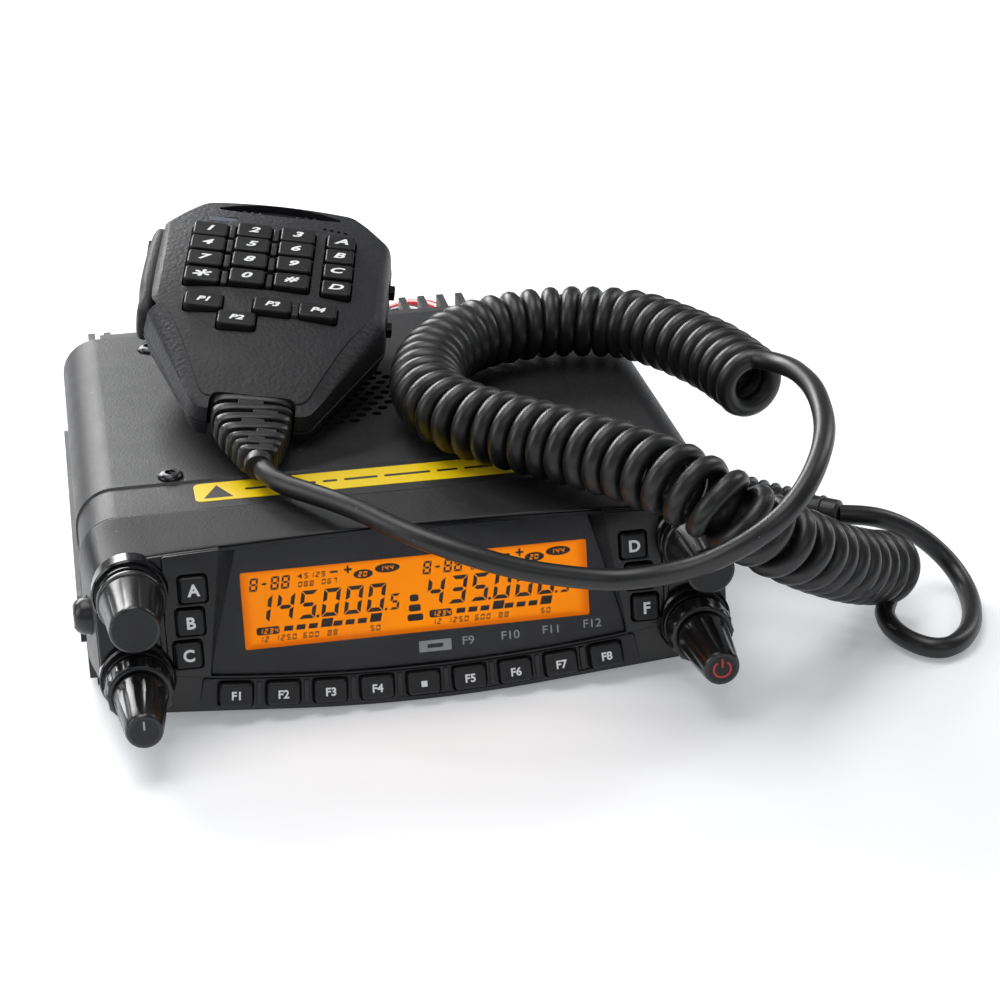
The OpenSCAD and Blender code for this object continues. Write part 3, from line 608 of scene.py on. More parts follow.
def finish_steel():
    """Blackened screw steel, brighter where a driver has rubbed it."""
    made = Finish("black_zinc", (0.05, 0.05, 0.052), 0.3, Metallic=0.9)
    rub = made.band(made.noise(0.0016, 3.0, 0.6), 0.5, 0.72)
    made.set("Base Color", made.blend(rub, (0.035, 0.035, 0.037), (0.16, 0.16, 0.165)))
    made.set("Roughness", made.clamp(0.26 + rub * 0.18))
    made.raise_by(made.noise(0.0004, 2.0) * 0.00002)
    return made.done(0.5)


def finish_plain_steel():
    """Brushed shaft steel."""
    made = Finish("plain_steel", (0.42, 0.42, 0.43), 0.32, Metallic=1.0)
    brush = made.noise(0.0005, 2.0, 0.5, made.stretched((0.1, 2.0, 0.1)))
    made.set("Base Color", made.blend(brush, (0.34, 0.34, 0.35), (0.5, 0.5, 0.51)))
    made.set("Roughness", made.clamp(0.24 + brush * 0.2))
    made.raise_by(brush * 0.00001)
    return made.done(0.5)


def finish_board():
    """Circuit board: solder mask with tracks and bare pads showing through."""
    made = Finish("circuit_board", (0.010, 0.085, 0.035), 0.34)
    tracks = Flow(made, made.node("ShaderNodeTexBrick", {"offset": 0.37, "squash": 1.6}, {
        "Vector": made.place, "Scale": 160.0, "Mortar Size": 0.06, "Mortar Smooth": 0.2,
        "Bias": -0.4}).outputs[1])
    pads = made.cells(0.0034) < 0.16
    tone = made.blend(tracks, made.shaded(1.0), (0.03, 0.17, 0.07))
    tone = made.blend(pads, tone, (0.52, 0.50, 0.42))
    made.set("Base Color", tone)
    made.set("Roughness", made.clamp(0.38 - pads * 0.12 + (made.noise(0.01, 3.0) - 0.5) * 0.1))
    made.raise_by(tracks * 0.00002 + pads * 0.00004)
    return made.done(0.5)


def finish_paper():
    """Pressed paper of the loudspeaker."""
    made = moulded("speaker_paper", (0.035, 0.033, 0.031), 0.7, 0.0008, 0.0001, 0.25, 0.05)
    made.raise_by(made.noise(0.0005, 3.0, 0.6, made.stretched((6.0, 1.0, 1.0))) * 0.00008)
    return made.done(0.6)


def finish_floor():
    """Pale sweep, a breath uneven."""
    made = Finish("pale_floor", (0.86, 0.87, 0.89), 0.55)
    tone = made.noise(0.12, 3.0)
    made.set("Base Color", made.blend(tone, (0.855, 0.865, 0.885), (0.885, 0.892, 0.905)))
    made.set("Emission Color", (0.95, 0.97, 1.0, 1.0))
    made.set("Emission Strength", 0.26)
    made.set("Roughness", made.clamp(0.5 + tone * 0.12))
    made.raise_by(made.noise(0.002, 2.0) * 0.00001)
    return made.done(0.3)


# Moulded and printed finishes: name, colour, roughness, grain, depth, mottle, smudge, specks,
# strength of the bump and sockets with a fixed value
PLAIN_FINISHES = {
    "knob_tip": ("knob_tip", (0.014, 0.0142, 0.0152), 0.5, 0.0003, 0.00004, 0.15, 0.06, 0.0,
                 0.5, {"Specular_IOR_Level": 0.35}),
    "key": ("key_cap", (0.013, 0.0132, 0.0146), 0.42, 0.00026, 0.00004, 0.14, 0.09, 0.3,
            0.5, {"Specular_IOR_Level": 0.36}),
    "lens_rim": ("lens_surround", (0.021, 0.0213, 0.024), 0.34, 0.0012, 0.000008, 0.1, 0.06, 0.3,
                 0.4, {"Specular_IOR_Level": 0.35}),
    "segment": ("display_segment", (0.011, 0.0045, 0.0035), 0.45, 0.0004, 0.000008, 0.3, 0.06,
                0.0, 0.3, {}),
    "white_print": ("white_print", (0.87, 0.88, 0.885), 0.45, 0.00022, 0.00001, 0.05, 0.06,
                    0.0, 0.4, {}),
    "grey_print": ("silver_print", (0.36, 0.365, 0.37), 0.4, 0.0003, 0.00001, 0.1, 0.06,
                   0.0, 0.4, {}),
    "red_print": ("red_print", (0.55, 0.018, 0.02), 0.42, 0.0003, 0.00001, 0.12, 0.05,
                  0.0, 0.4, {}),
    "black_ink": ("black_ink", (0.012, 0.012, 0.011), 0.5, 0.0004, 0.00001, 0.2, 0.05,
                  0.0, 0.4, {}),
    "rubber": ("silicone", (0.0065, 0.0065, 0.007), 0.42, 0.0004, 0.00002, 0.25, 0.1, 0.45,
               0.5, {"Specular_IOR_Level": 0.3}),
    "led": ("lamp_window", (0.13, 0.155, 0.185), 0.3, 0.0008, 0.00001, 0.12, 0.05, 0.0, 0.3, {}),
    "boot": ("boot_pvc", (0.017, 0.0172, 0.0182), 0.38, 0.0007, 0.00004, 0.2, 0.1, 0.4, 0.5, {}),
    "black_wire": ("black_wire", (0.013, 0.013, 0.0135), 0.3, 0.001, 0.00002, 0.2, 0.08, 0.0,
                   0.5, {}),
    "fan": ("fan_moulding", (0.014, 0.014, 0.0145), 0.36, 0.001, 0.00003, 0.15, 0.08, 0.5,
            0.5, {}),
}

SHELF = {}


def finish(kind):
    """The finish of that name, made when it is first wanted."""
    if kind not in SHELF and kind in PLAIN_FINISHES:
        *look, strength, fixed = PLAIN_FINISHES[kind]
        SHELF[kind] = moulded(*look, **fixed).done(strength)
    elif kind not in SHELF:
        SHELF[kind] = globals()["finish_" + kind]()
    return SHELF[kind]


# ---- Shapes ----


def circle(radius, count=32, x=0.0, y=0.0, start=0.0):
    return [(x + radius * math.cos(start + 2 * math.pi * i / count),
             y + radius * math.sin(start + 2 * math.pi * i / count)) for i in range(count)]


def soft_rectangle(width, depth, radius, steps=5, x=0.0, y=0.0):
    """Rounded rectangle, anticlockwise."""
    points = []
    for corner, (sx, sy) in enumerate(((1, 1), (-1, 1), (-1, -1), (1, -1))):
        cx, cy = x + sx * (width / 2 - radius), y + sy * (depth / 2 - radius)
        for i in range(steps + 1):
            angle = math.pi / 2 * (corner + i / steps)
            points.append((cx + radius * math.cos(angle), cy + radius * math.sin(angle)))
    return points


def wrap(points):
    """Convex outline round some points, anticlockwise."""
    points = sorted(set((round(x, 5), round(y, 5)) for x, y in points))

    def half(chain):
        kept = []
        for p in chain:
            while len(kept) > 1 and ((kept[-1][0] - kept[-2][0]) * (p[1] - kept[-2][1])
                                     - (kept[-1][1] - kept[-2][1]) * (p[0] - kept[-2][0])) <= 1e-9:
                kept.pop()
            kept.append(p)
        return kept[:-1]

    return half(points) + half(points[::-1])


def lengths(points, closed=True):
    count = len(points) if closed else len(points) - 1
    total = [0.0]
    for i in range(count):
        a, b = points[i], points[(i + 1) % len(points)]
        total.append(total[-1] + math.dist(a, b))
    return total


def even(points, count, closed=True):
    """count points evenly spaced along a line."""
    total = lengths(points, closed)
    made, k = [], 0
    for i in range(count):
        want = total[-1] * i / (count if closed else count - 1)
        while k < len(total) - 2 and total[k + 1] < want:
            k += 1
        share = (want - total[k]) / max(total[k + 1] - total[k], 1e-9)
        a, b = points[k], points[(k + 1) % len(points)]
        made.append(tuple(p + (q - p) * share for p, q in zip(a, b)))
    return made


def spokes(outline, centre, angles):
    """Where rays from the centre at those angles meet a convex outline."""
    made = []
    for angle in angles:
        dx, dy = math.cos(angle), math.sin(angle)
        best = None
        for i, (ax, ay) in enumerate(outline):
            bx, by = outline[(i + 1) % len(outline)]
            ex, ey = bx - ax, by - ay
            cross = dx * ey - dy * ex
            if abs(cross) < 1e-12:
                continue
            far = ((ax - centre[0]) * ey - (ay - centre[1]) * ex) / cross
            along = ((ax - centre[0]) * dy - (ay - centre[1]) * dx) / cross
            if far > 0 and -1e-6 <= along <= 1 + 1e-6 and (best is None or far > best):
                best = far
        made.append((centre[0] + dx * best, centre[1] + dy * best))
    return made


def smooth_route(points, steps):
    """Points of a Catmull-Rom line through the given ones."""
    pts = [Vector(p) for p in points]
    made = []
    for i in range(len(pts) - 1):
        a, b = pts[max(i - 1, 0)], pts[i]
        c, d = pts[i + 1], pts[min(i + 2, len(pts) - 1)]
        for k in range(steps):
            t = k / steps
            made.append(0.5 * (2 * b + (c - a) * t + (2 * a - 5 * b + 4 * c - d) * t * t
                               + (3 * b - a - 3 * c + d) * t ** 3))
    made.append(pts[-1])
    return made


def lathe(profile, count=64, reach=None):
    """Turned shape from (radius, height) pairs; reach(angle, radius, height) may flute it."""
    verts, rings = [], []
    for radius, height in profile:
        if radius < 1e-6:
            rings.append([len(verts)])
            verts.append((0, 0, height))
            continue
        ring = []
        for i in range(count):
            angle = 2 * math.pi * i / count
            r = reach(angle, radius, height) if reach else radius
            ring.append(len(verts))
            verts.append((r * math.cos(angle), r * math.sin(angle), height))
        rings.append(ring)
    return verts, skin(rings)


def skin(rings, caps=True):
    faces = []
    for low, high in zip(rings, rings[1:]):
        n = max(len(low), len(high))
        for i in range(n):
            j = (i + 1) % n
            if len(low) == 1:
                faces.append((low[0], high[j], high[i]))
            elif len(high) == 1:
                faces.append((low[i], low[j], high[0]))
            else:
                faces.append((low[i], low[j], high[j], high[i]))
    if caps and len(rings[0]) > 1:
        faces.append(tuple(reversed(rings[0])))
    if caps and len(rings[-1]) > 1:
        faces.append(tuple(rings[-1]))
    return faces


def loft(sections, caps=True):
    """Skin over rings of points of equal number."""
    verts, rings = [], []
    for section in sections:
        rings.append(list(range(len(verts), len(verts) + len(section))))
        verts.extend(tuple(p) for p in section)
    return verts, skin(rings, caps)


def rounded(profile, radius=0.4, steps=4):
    """Profile with its inner corners rounded."""
    made = [profile[0]]
    for a, b, c in zip(profile, profile[1:], profile[2:]):
        a, b, c = Vector(a), Vector(b), Vector(c)
        cut = min(radius, (a - b).length * 0.45, (c - b).length * 0.45)
        p, q = b + (a - b).normalized() * cut, b + (c - b).normalized() * cut
        for i in range(steps + 1):
            t = i / steps
            made.append(tuple(p * (1 - t) ** 2 + b * 2 * t * (1 - t) + q * t * t))
    made.append(profile[-1])
    return made


def tube(points, radius, sides=16):
    """Round tube; radius is a number or one for each point."""
    pts = [Vector(p) for p in points]
    count = len(pts)
    ahead = [(pts[min(i + 1, count - 1)] - pts[max(i - 1, 0)]).normalized() for i in range(count)]
    side = ahead[0].orthogonal().normalized()
    sections = []
    for i, p in enumerate(pts):
        side = (side - ahead[i] * side.dot(ahead[i])).normalized()
        other = ahead[i].cross(side)
        r = radius[i] if isinstance(radius, (list, tuple)) else radius
        sections.append([p + r * (math.cos(2 * math.pi * k / sides) * side
                                  + math.sin(2 * math.pi * k / sides) * other)
                         for k in range(sides)])
    return loft(sections)


def block(outline, low, high, bevel=0.3, steps=3):
    """Standing block on a convex outline, its upper edge rounded."""
    levels = [(0.0, low)]
    levels += [(bevel * (1 - math.cos(math.pi / 2 * i / steps)),
                high - bevel * (1 - math.sin(math.pi / 2 * i / steps)))
               for i in range(steps + 1)]
    sections = []
    for by, z in levels:
        ring = []
        for i, (x, y) in enumerate(outline):
            before, after = outline[i - 1], outline[(i + 1) % len(outline)]
            nx, ny = before[1] - after[1], after[0] - before[0]
            size = math.hypot(nx, ny) or 1
            ring.append((x + nx / size * by, y + ny / size * by, z))
        sections.append(ring)
    return loft(sections)


def linked(name, data):
    """A new object of the scene."""
    made = bpy.data.objects.new(name, data)
    bpy.context.scene.collection.objects.link(made)
    return made


def drop(made):
    """Removes an object and its data."""
    data = made.data
    bpy.data.objects.remove(made)
    kept_in = bpy.data.meshes if isinstance(data, bpy.types.Mesh) else bpy.data.curves
    kept_in.remove(data)


def evaluated_mesh(made):
    """A plain mesh of an object as it is evaluated."""
    bpy.context.view_layer.update()
    return bpy.data.meshes.new_from_object(
        made.evaluated_get(bpy.context.evaluated_depsgraph_get()))


def from_object(made):
    """Vertices and faces of an object as it is evaluated; the object is then dropped."""
    plain = evaluated_mesh(made)
    verts = [tuple(v.co) for v in plain.vertices]
    faces = [tuple(f.vertices) for f in plain.polygons]
    drop(made)
    bpy.data.meshes.remove(plain)
    return verts, faces


def plate(outline, low, high, holes=(), bevel=0.25, steps=3):
    """Flat plate with holes, all its edges rounded."""
    curve = bpy.data.curves.new("plate", "CURVE")
    curve.dimensions = "2D"
    curve.fill_mode = "BOTH"
    for loop in (outline, *holes):
        spline = curve.splines.new("POLY")
        spline.points.add(len(loop) - 1)
        for point, (x, y) in zip(spline.points, loop):
            point.co = (x, y, 0, 1)
        spline.use_cyclic_u = True
    bevel = min(bevel, (high - low) / 2 - 0.001)
    curve.extrude = (high - low) / 2 - bevel
    curve.bevel_depth = bevel
    curve.bevel_resolution = steps
    curve.offset = -bevel
    verts, faces = from_object(linked("plate", curve))
    return [(x, y, z + (low + high) / 2) for x, y, z in verts], faces


def letters(text, size, thick=0.02, bold=0.0, slant=0.0, wide=1.0):
    """Raised lettering about the middle of its text."""
    curve = bpy.data.curves.new("letters", "FONT")
    curve.body = text
    curve.size = size
    curve.align_x = "CENTER"
    curve.offset = bold
    curve.shear = slant
    curve.extrude = thick / 2
    curve.resolution_u = 4
    verts, faces = from_object(linked("letters", curve))
    ys = [v[1] for v in verts]
    xs = [v[0] for v in verts]
    mid_x, mid_y = (min(xs) + max(xs)) / 2, (min(ys) + max(ys)) / 2
    return [((x - mid_x) * wide, y - mid_y, z) for x, y, z in verts], faces


def ink(polygon, thick=0.03):
    """Thin print on a flat surface."""
    n = len(polygon)
    verts = [(x, y, 0) for x, y in polygon] + [(x, y, thick) for x, y in polygon]
    faces = [tuple(range(n - 1, -1, -1)), tuple(range(n, 2 * n))]
    faces += [(i, (i + 1) % n, n + (i + 1) % n, n + i) for i in range(n)]
    return verts, faces


class Piece:
    """Gathers shapes in millimetres and makes them one object, in metres and in its place."""

    def __init__(self, name):
        self.name = name
        self.mesh = bmesh.new()
        self.finishes = []

    def add(self, shape, kind, place=BODY, lift=(0, 0, 0), check=True):
        verts, faces = shape
        if kind not in self.finishes:
            self.finishes.append(kind)
        part = bmesh.new()
        made = [part.verts.new(place @ (Vector(v) + Vector(lift))) for v in verts]
        for face in faces:
            corners = [made[i] for i in face]
            if len(set(corners)) > 2:
                try:
                    part.faces.new(corners)
                except ValueError:
                    continue
        bmesh.ops.remove_doubles(part, verts=part.verts, dist=0.0004)
        bmesh.ops.dissolve_degenerate(part, edges=part.edges, dist=0.0001)
        if check:
            bmesh.ops.recalc_face_normals(part, faces=part.faces)
        index = self.finishes.index(kind)
        for face in part.faces:
            face.material_index = index
            face.smooth = True
        holder = bpy.data.meshes.new("part")
        part.to_mesh(holder)
        part.free()
        self.mesh.from_mesh(holder)
        bpy.data.meshes.remove(holder)
        return self

    def cut(self, shapes):
        """Takes some closed shapes away from what is gathered so far."""
        whole = self.loose("whole")
        tool = Piece("tool")
        for shape in shapes:
            tool.add(shape, self.finishes[0])
        cutter = tool.loose("cutter")
        change = whole.modifiers.new("cut", "BOOLEAN")
        change.operation = "DIFFERENCE"
        change.solver = "EXACT"
        change.use_self = True
        change.object = cutter
        plain = evaluated_mesh(whole)
        self.mesh = bmesh.new()
        self.mesh.from_mesh(plain)
        drop(whole)
        drop(cutter)
        bpy.data.meshes.remove(plain)
        return self

    def loose(self, name):
        data = bpy.data.meshes.new(name)
        self.mesh.to_mesh(data)
        self.mesh.free()
        return linked(name, data)

    def make(self, body, sharp=32, slot=None, replaces=()):
        """The finished object, riding on its body."""
        bmesh.ops.scale(self.mesh, vec=(MM, MM, MM), verts=self.mesh.verts)
        made = self.loose(self.name)
        for kind in self.finishes:
            made.data.materials.append(finish(kind))
        made.data.set_sharp_from_angle(angle=math.radians(sharp))
        even_light = made.modifiers.new("even light", "WEIGHTED_NORMAL")
        even_light.keep_sharp = True
        even_light.weight = 60
        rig.ride(made, body)
        if slot:
            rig.slot(made, slot)
        if replaces:
            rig.replaces(made, *replaces)
        return made


class Pattern:
    """A Geometry Nodes tree with named inputs, run on an empty mesh and returned as a shape."""

    def __init__(self, name):
        self.tree = bpy.data.node_groups.new(name, "GeometryNodeTree")
        self.tree.interface.new_socket("Geometry", in_out="INPUT",
                                       socket_type="NodeSocketGeometry")
        self.tree.interface.new_socket("Geometry", in_out="OUTPUT",
                                       socket_type="NodeSocketGeometry")
        self.entry = self.tree.nodes.new("NodeGroupInput")
        self.values = {}

    def input(self, name, value, kind="NodeSocketFloat"):
        socket = self.tree.interface.new_socket(name, in_out="INPUT", socket_type=kind)
        self.values[socket.identifier] = value
        return self.entry.outputs[socket.identifier]

    def node(self, kind, settings=None, inputs=None):
        return add_node(self.tree, kind, settings, inputs)

    def math(self, operation, first, second=0.0):
        return self.node("ShaderNodeMath", {"operation": operation},
                         {0: first, 1: second}).outputs[0]

    def finish(self, geometry, kind):
        """Ends the tree in real geometry with its material."""
        real = self.node("GeometryNodeRealizeInstances", None, {"Geometry": geometry})
        coat = self.node("GeometryNodeSetMaterial", None, {
            "Geometry": real.outputs[0], "Material": finish(kind)})
        output = self.tree.nodes.new("NodeGroupOutput")
        self.tree.links.new(coat.outputs[0], output.inputs[0])

    def run(self):
        holder = linked("pattern", bpy.data.meshes.new("pattern"))
        change = holder.modifiers.new("pattern", "NODES")
        change.node_group = self.tree
        for identifier, value in self.values.items():
            change[identifier] = value
        shape = from_object(holder)
        bpy.data.node_groups.remove(self.tree)
        return shape


def shape_object(shape, name):
    """A shape as an unlisted object, for a pattern to repeat."""
    data = bpy.data.meshes.new(name)
    data.from_pydata(shape[0], [], shape[1])
    return linked(name, data)


def repeat_grid(shape, columns, rows, step_x, step_y, kind, crown=False, base=0.0, name="grid",
                centre=(0.0, 0.0)):
    """Repeats a shape over a grid of points; crown drops each point to the face's bulge."""
    unit = shape_object(shape, name + "_unit")
    pattern = Pattern(name)
    across = pattern.input("Columns", columns, "NodeSocketInt")
    down = pattern.input("Rows", rows, "NodeSocketInt")
    width = pattern.input("Column step", float(step_x))
    depth = pattern.input("Row step", float(step_y))
    height = pattern.input("Base height", float(base))
    middle = pattern.input("Centre", (float(centre[0]), float(centre[1]), 0.0),
                           "NodeSocketVector")
    repeated = pattern.input("Shape", unit, "NodeSocketObject")
    size_x = pattern.math("MULTIPLY", width, pattern.math("SUBTRACT", across, 1))
    size_y = pattern.math("MULTIPLY", depth, pattern.math("SUBTRACT", down, 1))
    points = pattern.node("GeometryNodeMeshGrid", None, {
        "Size X": size_x, "Size Y": size_y, "Vertices X": across, "Vertices Y": down}).outputs[0]
    points = pattern.node("GeometryNodeSetPosition", None, {
        "Geometry": points, "Offset": middle}).outputs[0]
    if crown:
        where = pattern.node("ShaderNodeSeparateXYZ", None, {
            0: pattern.node("GeometryNodeInputPosition").outputs[0]})
        x, y = where.outputs[0], where.outputs[1]
        fall = pattern.math(
            "ADD", pattern.math("MULTIPLY", pattern.math("MULTIPLY", x, x), -0.0033),
            pattern.math("MULTIPLY", pattern.math("MULTIPLY", y, y), -0.0031))
        lifted = pattern.node("ShaderNodeCombineXYZ", None, {
            2: pattern.math("ADD", fall, height)})
        points = pattern.node("GeometryNodeSetPosition", None, {
            "Geometry": points, "Offset": lifted.outputs[0]}).outputs[0]
    source = pattern.node("GeometryNodeObjectInfo", None, {"Object": repeated})
    placed = pattern.node("GeometryNodeInstanceOnPoints", None, {
        "Points": points, "Instance": source.outputs["Geometry"]})
    pattern.finish(placed.outputs[0], kind)
    made = pattern.run()
    drop(unit)
    return made


def repeat_line(shape, count, step, kind, shrink=0.0, name="row"):
    """Repeats a shape along a line, each a share smaller than the last."""
    unit = shape_object(shape, name + "_unit")
    pattern = Pattern(name)
    number = pattern.input("Count", count, "NodeSocketInt")
    stride = pattern.input("Step", tuple(float(s) for s in step), "NodeSocketVector")
    taper = pattern.input("Shrink for each", float(shrink))
    repeated = pattern.input("Shape", unit, "NodeSocketObject")
    points = pattern.node("GeometryNodeMeshLine", {"mode": "OFFSET"}, {
        "Count": number, "Offset": stride})
    source = pattern.node("GeometryNodeObjectInfo", None, {"Object": repeated})
    order = pattern.node("GeometryNodeInputIndex").outputs[0]
    size = pattern.math("SUBTRACT", 1.0, pattern.math("MULTIPLY", order, taper))
    placed = pattern.node("GeometryNodeInstanceOnPoints", None, {
        "Points": points.outputs[0], "Instance": source.outputs["Geometry"],
        "Scale": size})
    pattern.finish(placed.outputs[0], kind)
    made = pattern.run()
    drop(unit)
    return made


def carve(shape, tools):
    """A closed shape less some others."""
    piece = Piece("carved").add(shape, "steel").cut(tools)
    verts = [tuple(v.co) for v in piece.mesh.verts]
    faces = [tuple(v.index for v in f.verts) for f in piece.mesh.faces]
    piece.mesh.free()
    return verts, faces


def placed(shape, place):
    return [tuple(place @ Vector(v)) for v in shape[0]], shape[1]


# ---- Stage ----


class TRANSCEIVER_OT_stage(bpy.types.Operator):
    """Makes the floor, the soft lights and the camera"""

    bl_idname = "transceiver.stage"
    bl_label = "Stage"

    def execute(self, context):
        scene = context.scene
        scene.view_settings.view_transform = "Standard"
        yaw, pitch, roll = (math.radians(a) for a in (10.07, 24.26, -1.38))
        ahead = Vector((math.sin(yaw) * math.cos(pitch), math.cos(yaw) * math.cos(pitch),
                        -math.sin(pitch)))
        level = Vector((math.cos(yaw), -math.sin(yaw), 0))
        over = level.cross(ahead)
        right = math.cos(roll) * level + math.sin(roll) * over
        up = math.cos(roll) * over - math.sin(roll) * level
        lens = bpy.data.cameras.new("camera")
        lens.lens = 90.6
        lens.sensor_width = 36
        lens.clip_end = 20
        camera = linked("camera", lens)
        spot = Vector((-0.0660, -0.5468, 0.2611))
        camera.matrix_world = Matrix((
            (right.x, up.x, -ahead.x, spot.x), (right.y, up.y, -ahead.y, spot.y),
            (right.z, up.z, -ahead.z, spot.z), (0, 0, 0, 1)))
        scene.camera = camera

        floor = bpy.data.meshes.new("floor")
        verts, faces = [(0, 0, 0)], []
        for k, radius in enumerate((0.3, 0.8, 2, 5, 9)):
            for i in range(64):
                a = 2 * math.pi * i / 64
                verts.append((radius * math.cos(a), radius * math.sin(a), -0.00002))
                j = (i + 1) % 64
                if k == 0:
                    faces.append((0, 1 + i, 1 + j))
                else:
                    low, high = 1 + 64 * (k - 1), 1 + 64 * k
                    faces.append((low + i, high + i, high + j, low + j))
        floor.from_pydata(verts, [], faces)
        floor.materials.append(finish("floor"))
        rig.stage(linked("floor", floor))

        world = bpy.data.worlds.new("soft room")
        world.use_nodes = True
        world.node_tree.nodes["Background"].inputs[0].default_value = (0.93, 0.95, 1.0, 1)
        world.node_tree.nodes["Background"].inputs[1].default_value = 0.2
        scene.world = world
        for name, place, aim, width, depth, power, tint in (
            ("overhead", (-0.15, 0.12, 1.15), (0, 0.02, 0), 0.9, 0.6, 7.0, (1, 0.99, 0.97)),
            ("back box", (-0.34, 0.74, 0.46), (-0.06, 0, 0.04), 0.6, 0.3, 7.2, (1, 1, 1)),
            ("left box", (-0.95, -0.15, 0.50), (0, 0, 0.03), 0.4, 0.7, 3.0, (1, 1, 1)),
            ("front fill", (0.25, -1.2, 0.9), (0, 0, 0.02), 0.9, 0.4, 1.7, (0.96, 0.98, 1)),
            ("right edge", (0.85, 0.35, 0.55), (0.05, 0, 0.04), 0.2, 0.6, 2.0, (1, 1, 1)),
        ):
            light = bpy.data.lights.new(name, "AREA")
            light.shape = "RECTANGLE"
            light.size, light.size_y = width, depth
            light.energy = power
            light.color = tint
            made = linked(name, light)
            made.location = place
            made.rotation_euler = (Vector(aim) - Vector(place)).to_track_quat("-Z", "Y").to_euler()
        return {"FINISHED"}


# ---- Cords ----


def winding(route, radius, near, far, first, last, per_turn=20):
    """Points of a helix round a route, its turns near apart at first and far apart at last."""
    line = smooth_route(route, 16)
    line = [Vector(p) for p in even(line, 1200, closed=False)]
    step = (line[1] - line[0]).length
    ahead = [(line[min(i + 1, 1199)] - line[max(i - 1, 0)]).normalized() for i in range(1200)]
    side = Vector(first)
    frames = []
    for way in ahead:
        side = (side - way * side.dot(way)).normalized()
        frames.append((side.copy(), way.cross(side)))
    phase = [0.0]
    for i in range(1, 1200):
        share = min(max((i / 1199 - 0.55) / 0.25, 0), 1)
        share = share * share * (3 - 2 * share)
        phase.append(phase[-1] - 2 * math.pi * step / (near + (far - near) * share))
    end_side, end_other = frames[-1]
    want = math.atan2(Vector(last).dot(end_other), Vector(last).dot(end_side))
    total = want + 2 * math.pi * round((phase[-1] - want) / (2 * math.pi))
    phase = [p * total / phase[-1] for p in phase]
    count = round(abs(total) / (2 * math.pi) * per_turn)
    made, k = [], 0
    for i in range(count + 1):
        angle = total * i / count
        while k < 1198 and phase[k + 1] > angle:
            k += 1
        share = (angle - phase[k]) / (phase[k + 1] - phase[k])
        centre = line[k].lerp(line[k + 1], share)
        one, other = (a.lerp(b, share).normalized() for a, b in zip(frames[k], frames[k + 1]))
        made.append(centre + radius * (math.cos(angle) * one + math.sin(angle) * other))
    return made


def cord_object(name, points, radius, kind, sides=4):
    curve = bpy.data.curves.new(name, "CURVE")
    curve.dimensions = "3D"
    curve.bevel_depth = radius * MM
    curve.bevel_resolution = sides
    curve.use_fill_caps = True
    curve.resolution_u = 3
    spline = curve.splines.new("NURBS")
    spline.points.add(len(points) - 1)
    for point, p in zip(spline.points, points):
        point.co = (*(Vector(p) * MM), 1)
    spline.order_u = 4
    spline.use_endpoint_u = True
    curve.materials.append(finish(kind))
    return linked(name, curve)


def run_length(points):
    return sum((Vector(b) - Vector(a)).length for a, b in zip(points, points[1:]))


class TRANSCEIVER_OT_cords(bpy.types.Operator):
    """Makes the curly microphone cord with its boots and plug, and the two power wires"""

    bl_idname = "transceiver.cords"
    bl_label = "Cords"

    def execute(self, context):
        size = sizes()
        thick = size.cord / MM
        radius = (size.coil_width - size.cord) / MM / 2
        lead = even(smooth_route(LEAD_ROUTE, 10), 40, closed=False)
        tail = even(smooth_route(TAIL_ROUTE, 10), 30, closed=False)
        coil = winding(COIL_ROUTE, radius, size.coil_turns_near / MM, size.coil_turns_far / MM,
                       (0, 0, 1), Vector(TAIL_ROUTE[0]) - Vector(COIL_ROUTE[-1]))
        points = lead[:-1] + coil + tail[1:]
        cord = cord_object("mic_cord", points, thick / 2, "cord")
        print("microphone cord", round(run_length(points)), "mm,",
              round(run_length(coil)), "mm of it curled")
        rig.ride(cord, "radio")
        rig.slot(cord, "cord_pvc")
        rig.replaces(cord, "mic_lead", "mic_coil", "mic_tail")
        boot = microphone_boot()
        plug = modular_plug()
        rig.cord(cord, exit=[c * MM for c in LEAD_ROUTE[0]], length=CORD_LENGTH,
                diameter=size.cord, far_end="plug", stiffness="medium", lay="coiled",
                with_pieces=[plug, boot])
        power = frame["nodes"]["power_plug"]
        for name, route, kind, slot, node in (
            ("power_wire_red", RED_ROUTE, "red_wire", "red_wire", "power_lead_red"),
            ("power_wire_black", BLACK_ROUTE, "black_wire", "cord_pvc", "power_lead_black"),
        ):
            line = even(smooth_route(route, 10), 32, closed=False)
            wire = cord_object(name, line, size.wire / MM / 2, kind, 3)
            print(name, round(run_length(line)), "mm")
            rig.ride(wire, "radio")
            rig.slot(wire, slot)
            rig.replaces(wire, node)
            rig.cord(wire, exit=[c * MM for c in route[0]], length=WIRE_LENGTHS[name],
                    diameter=size.wire, far_end="connector", stiffness="medium", lay="loose",
                    with_pieces=[power])
        return {"FINISHED"}


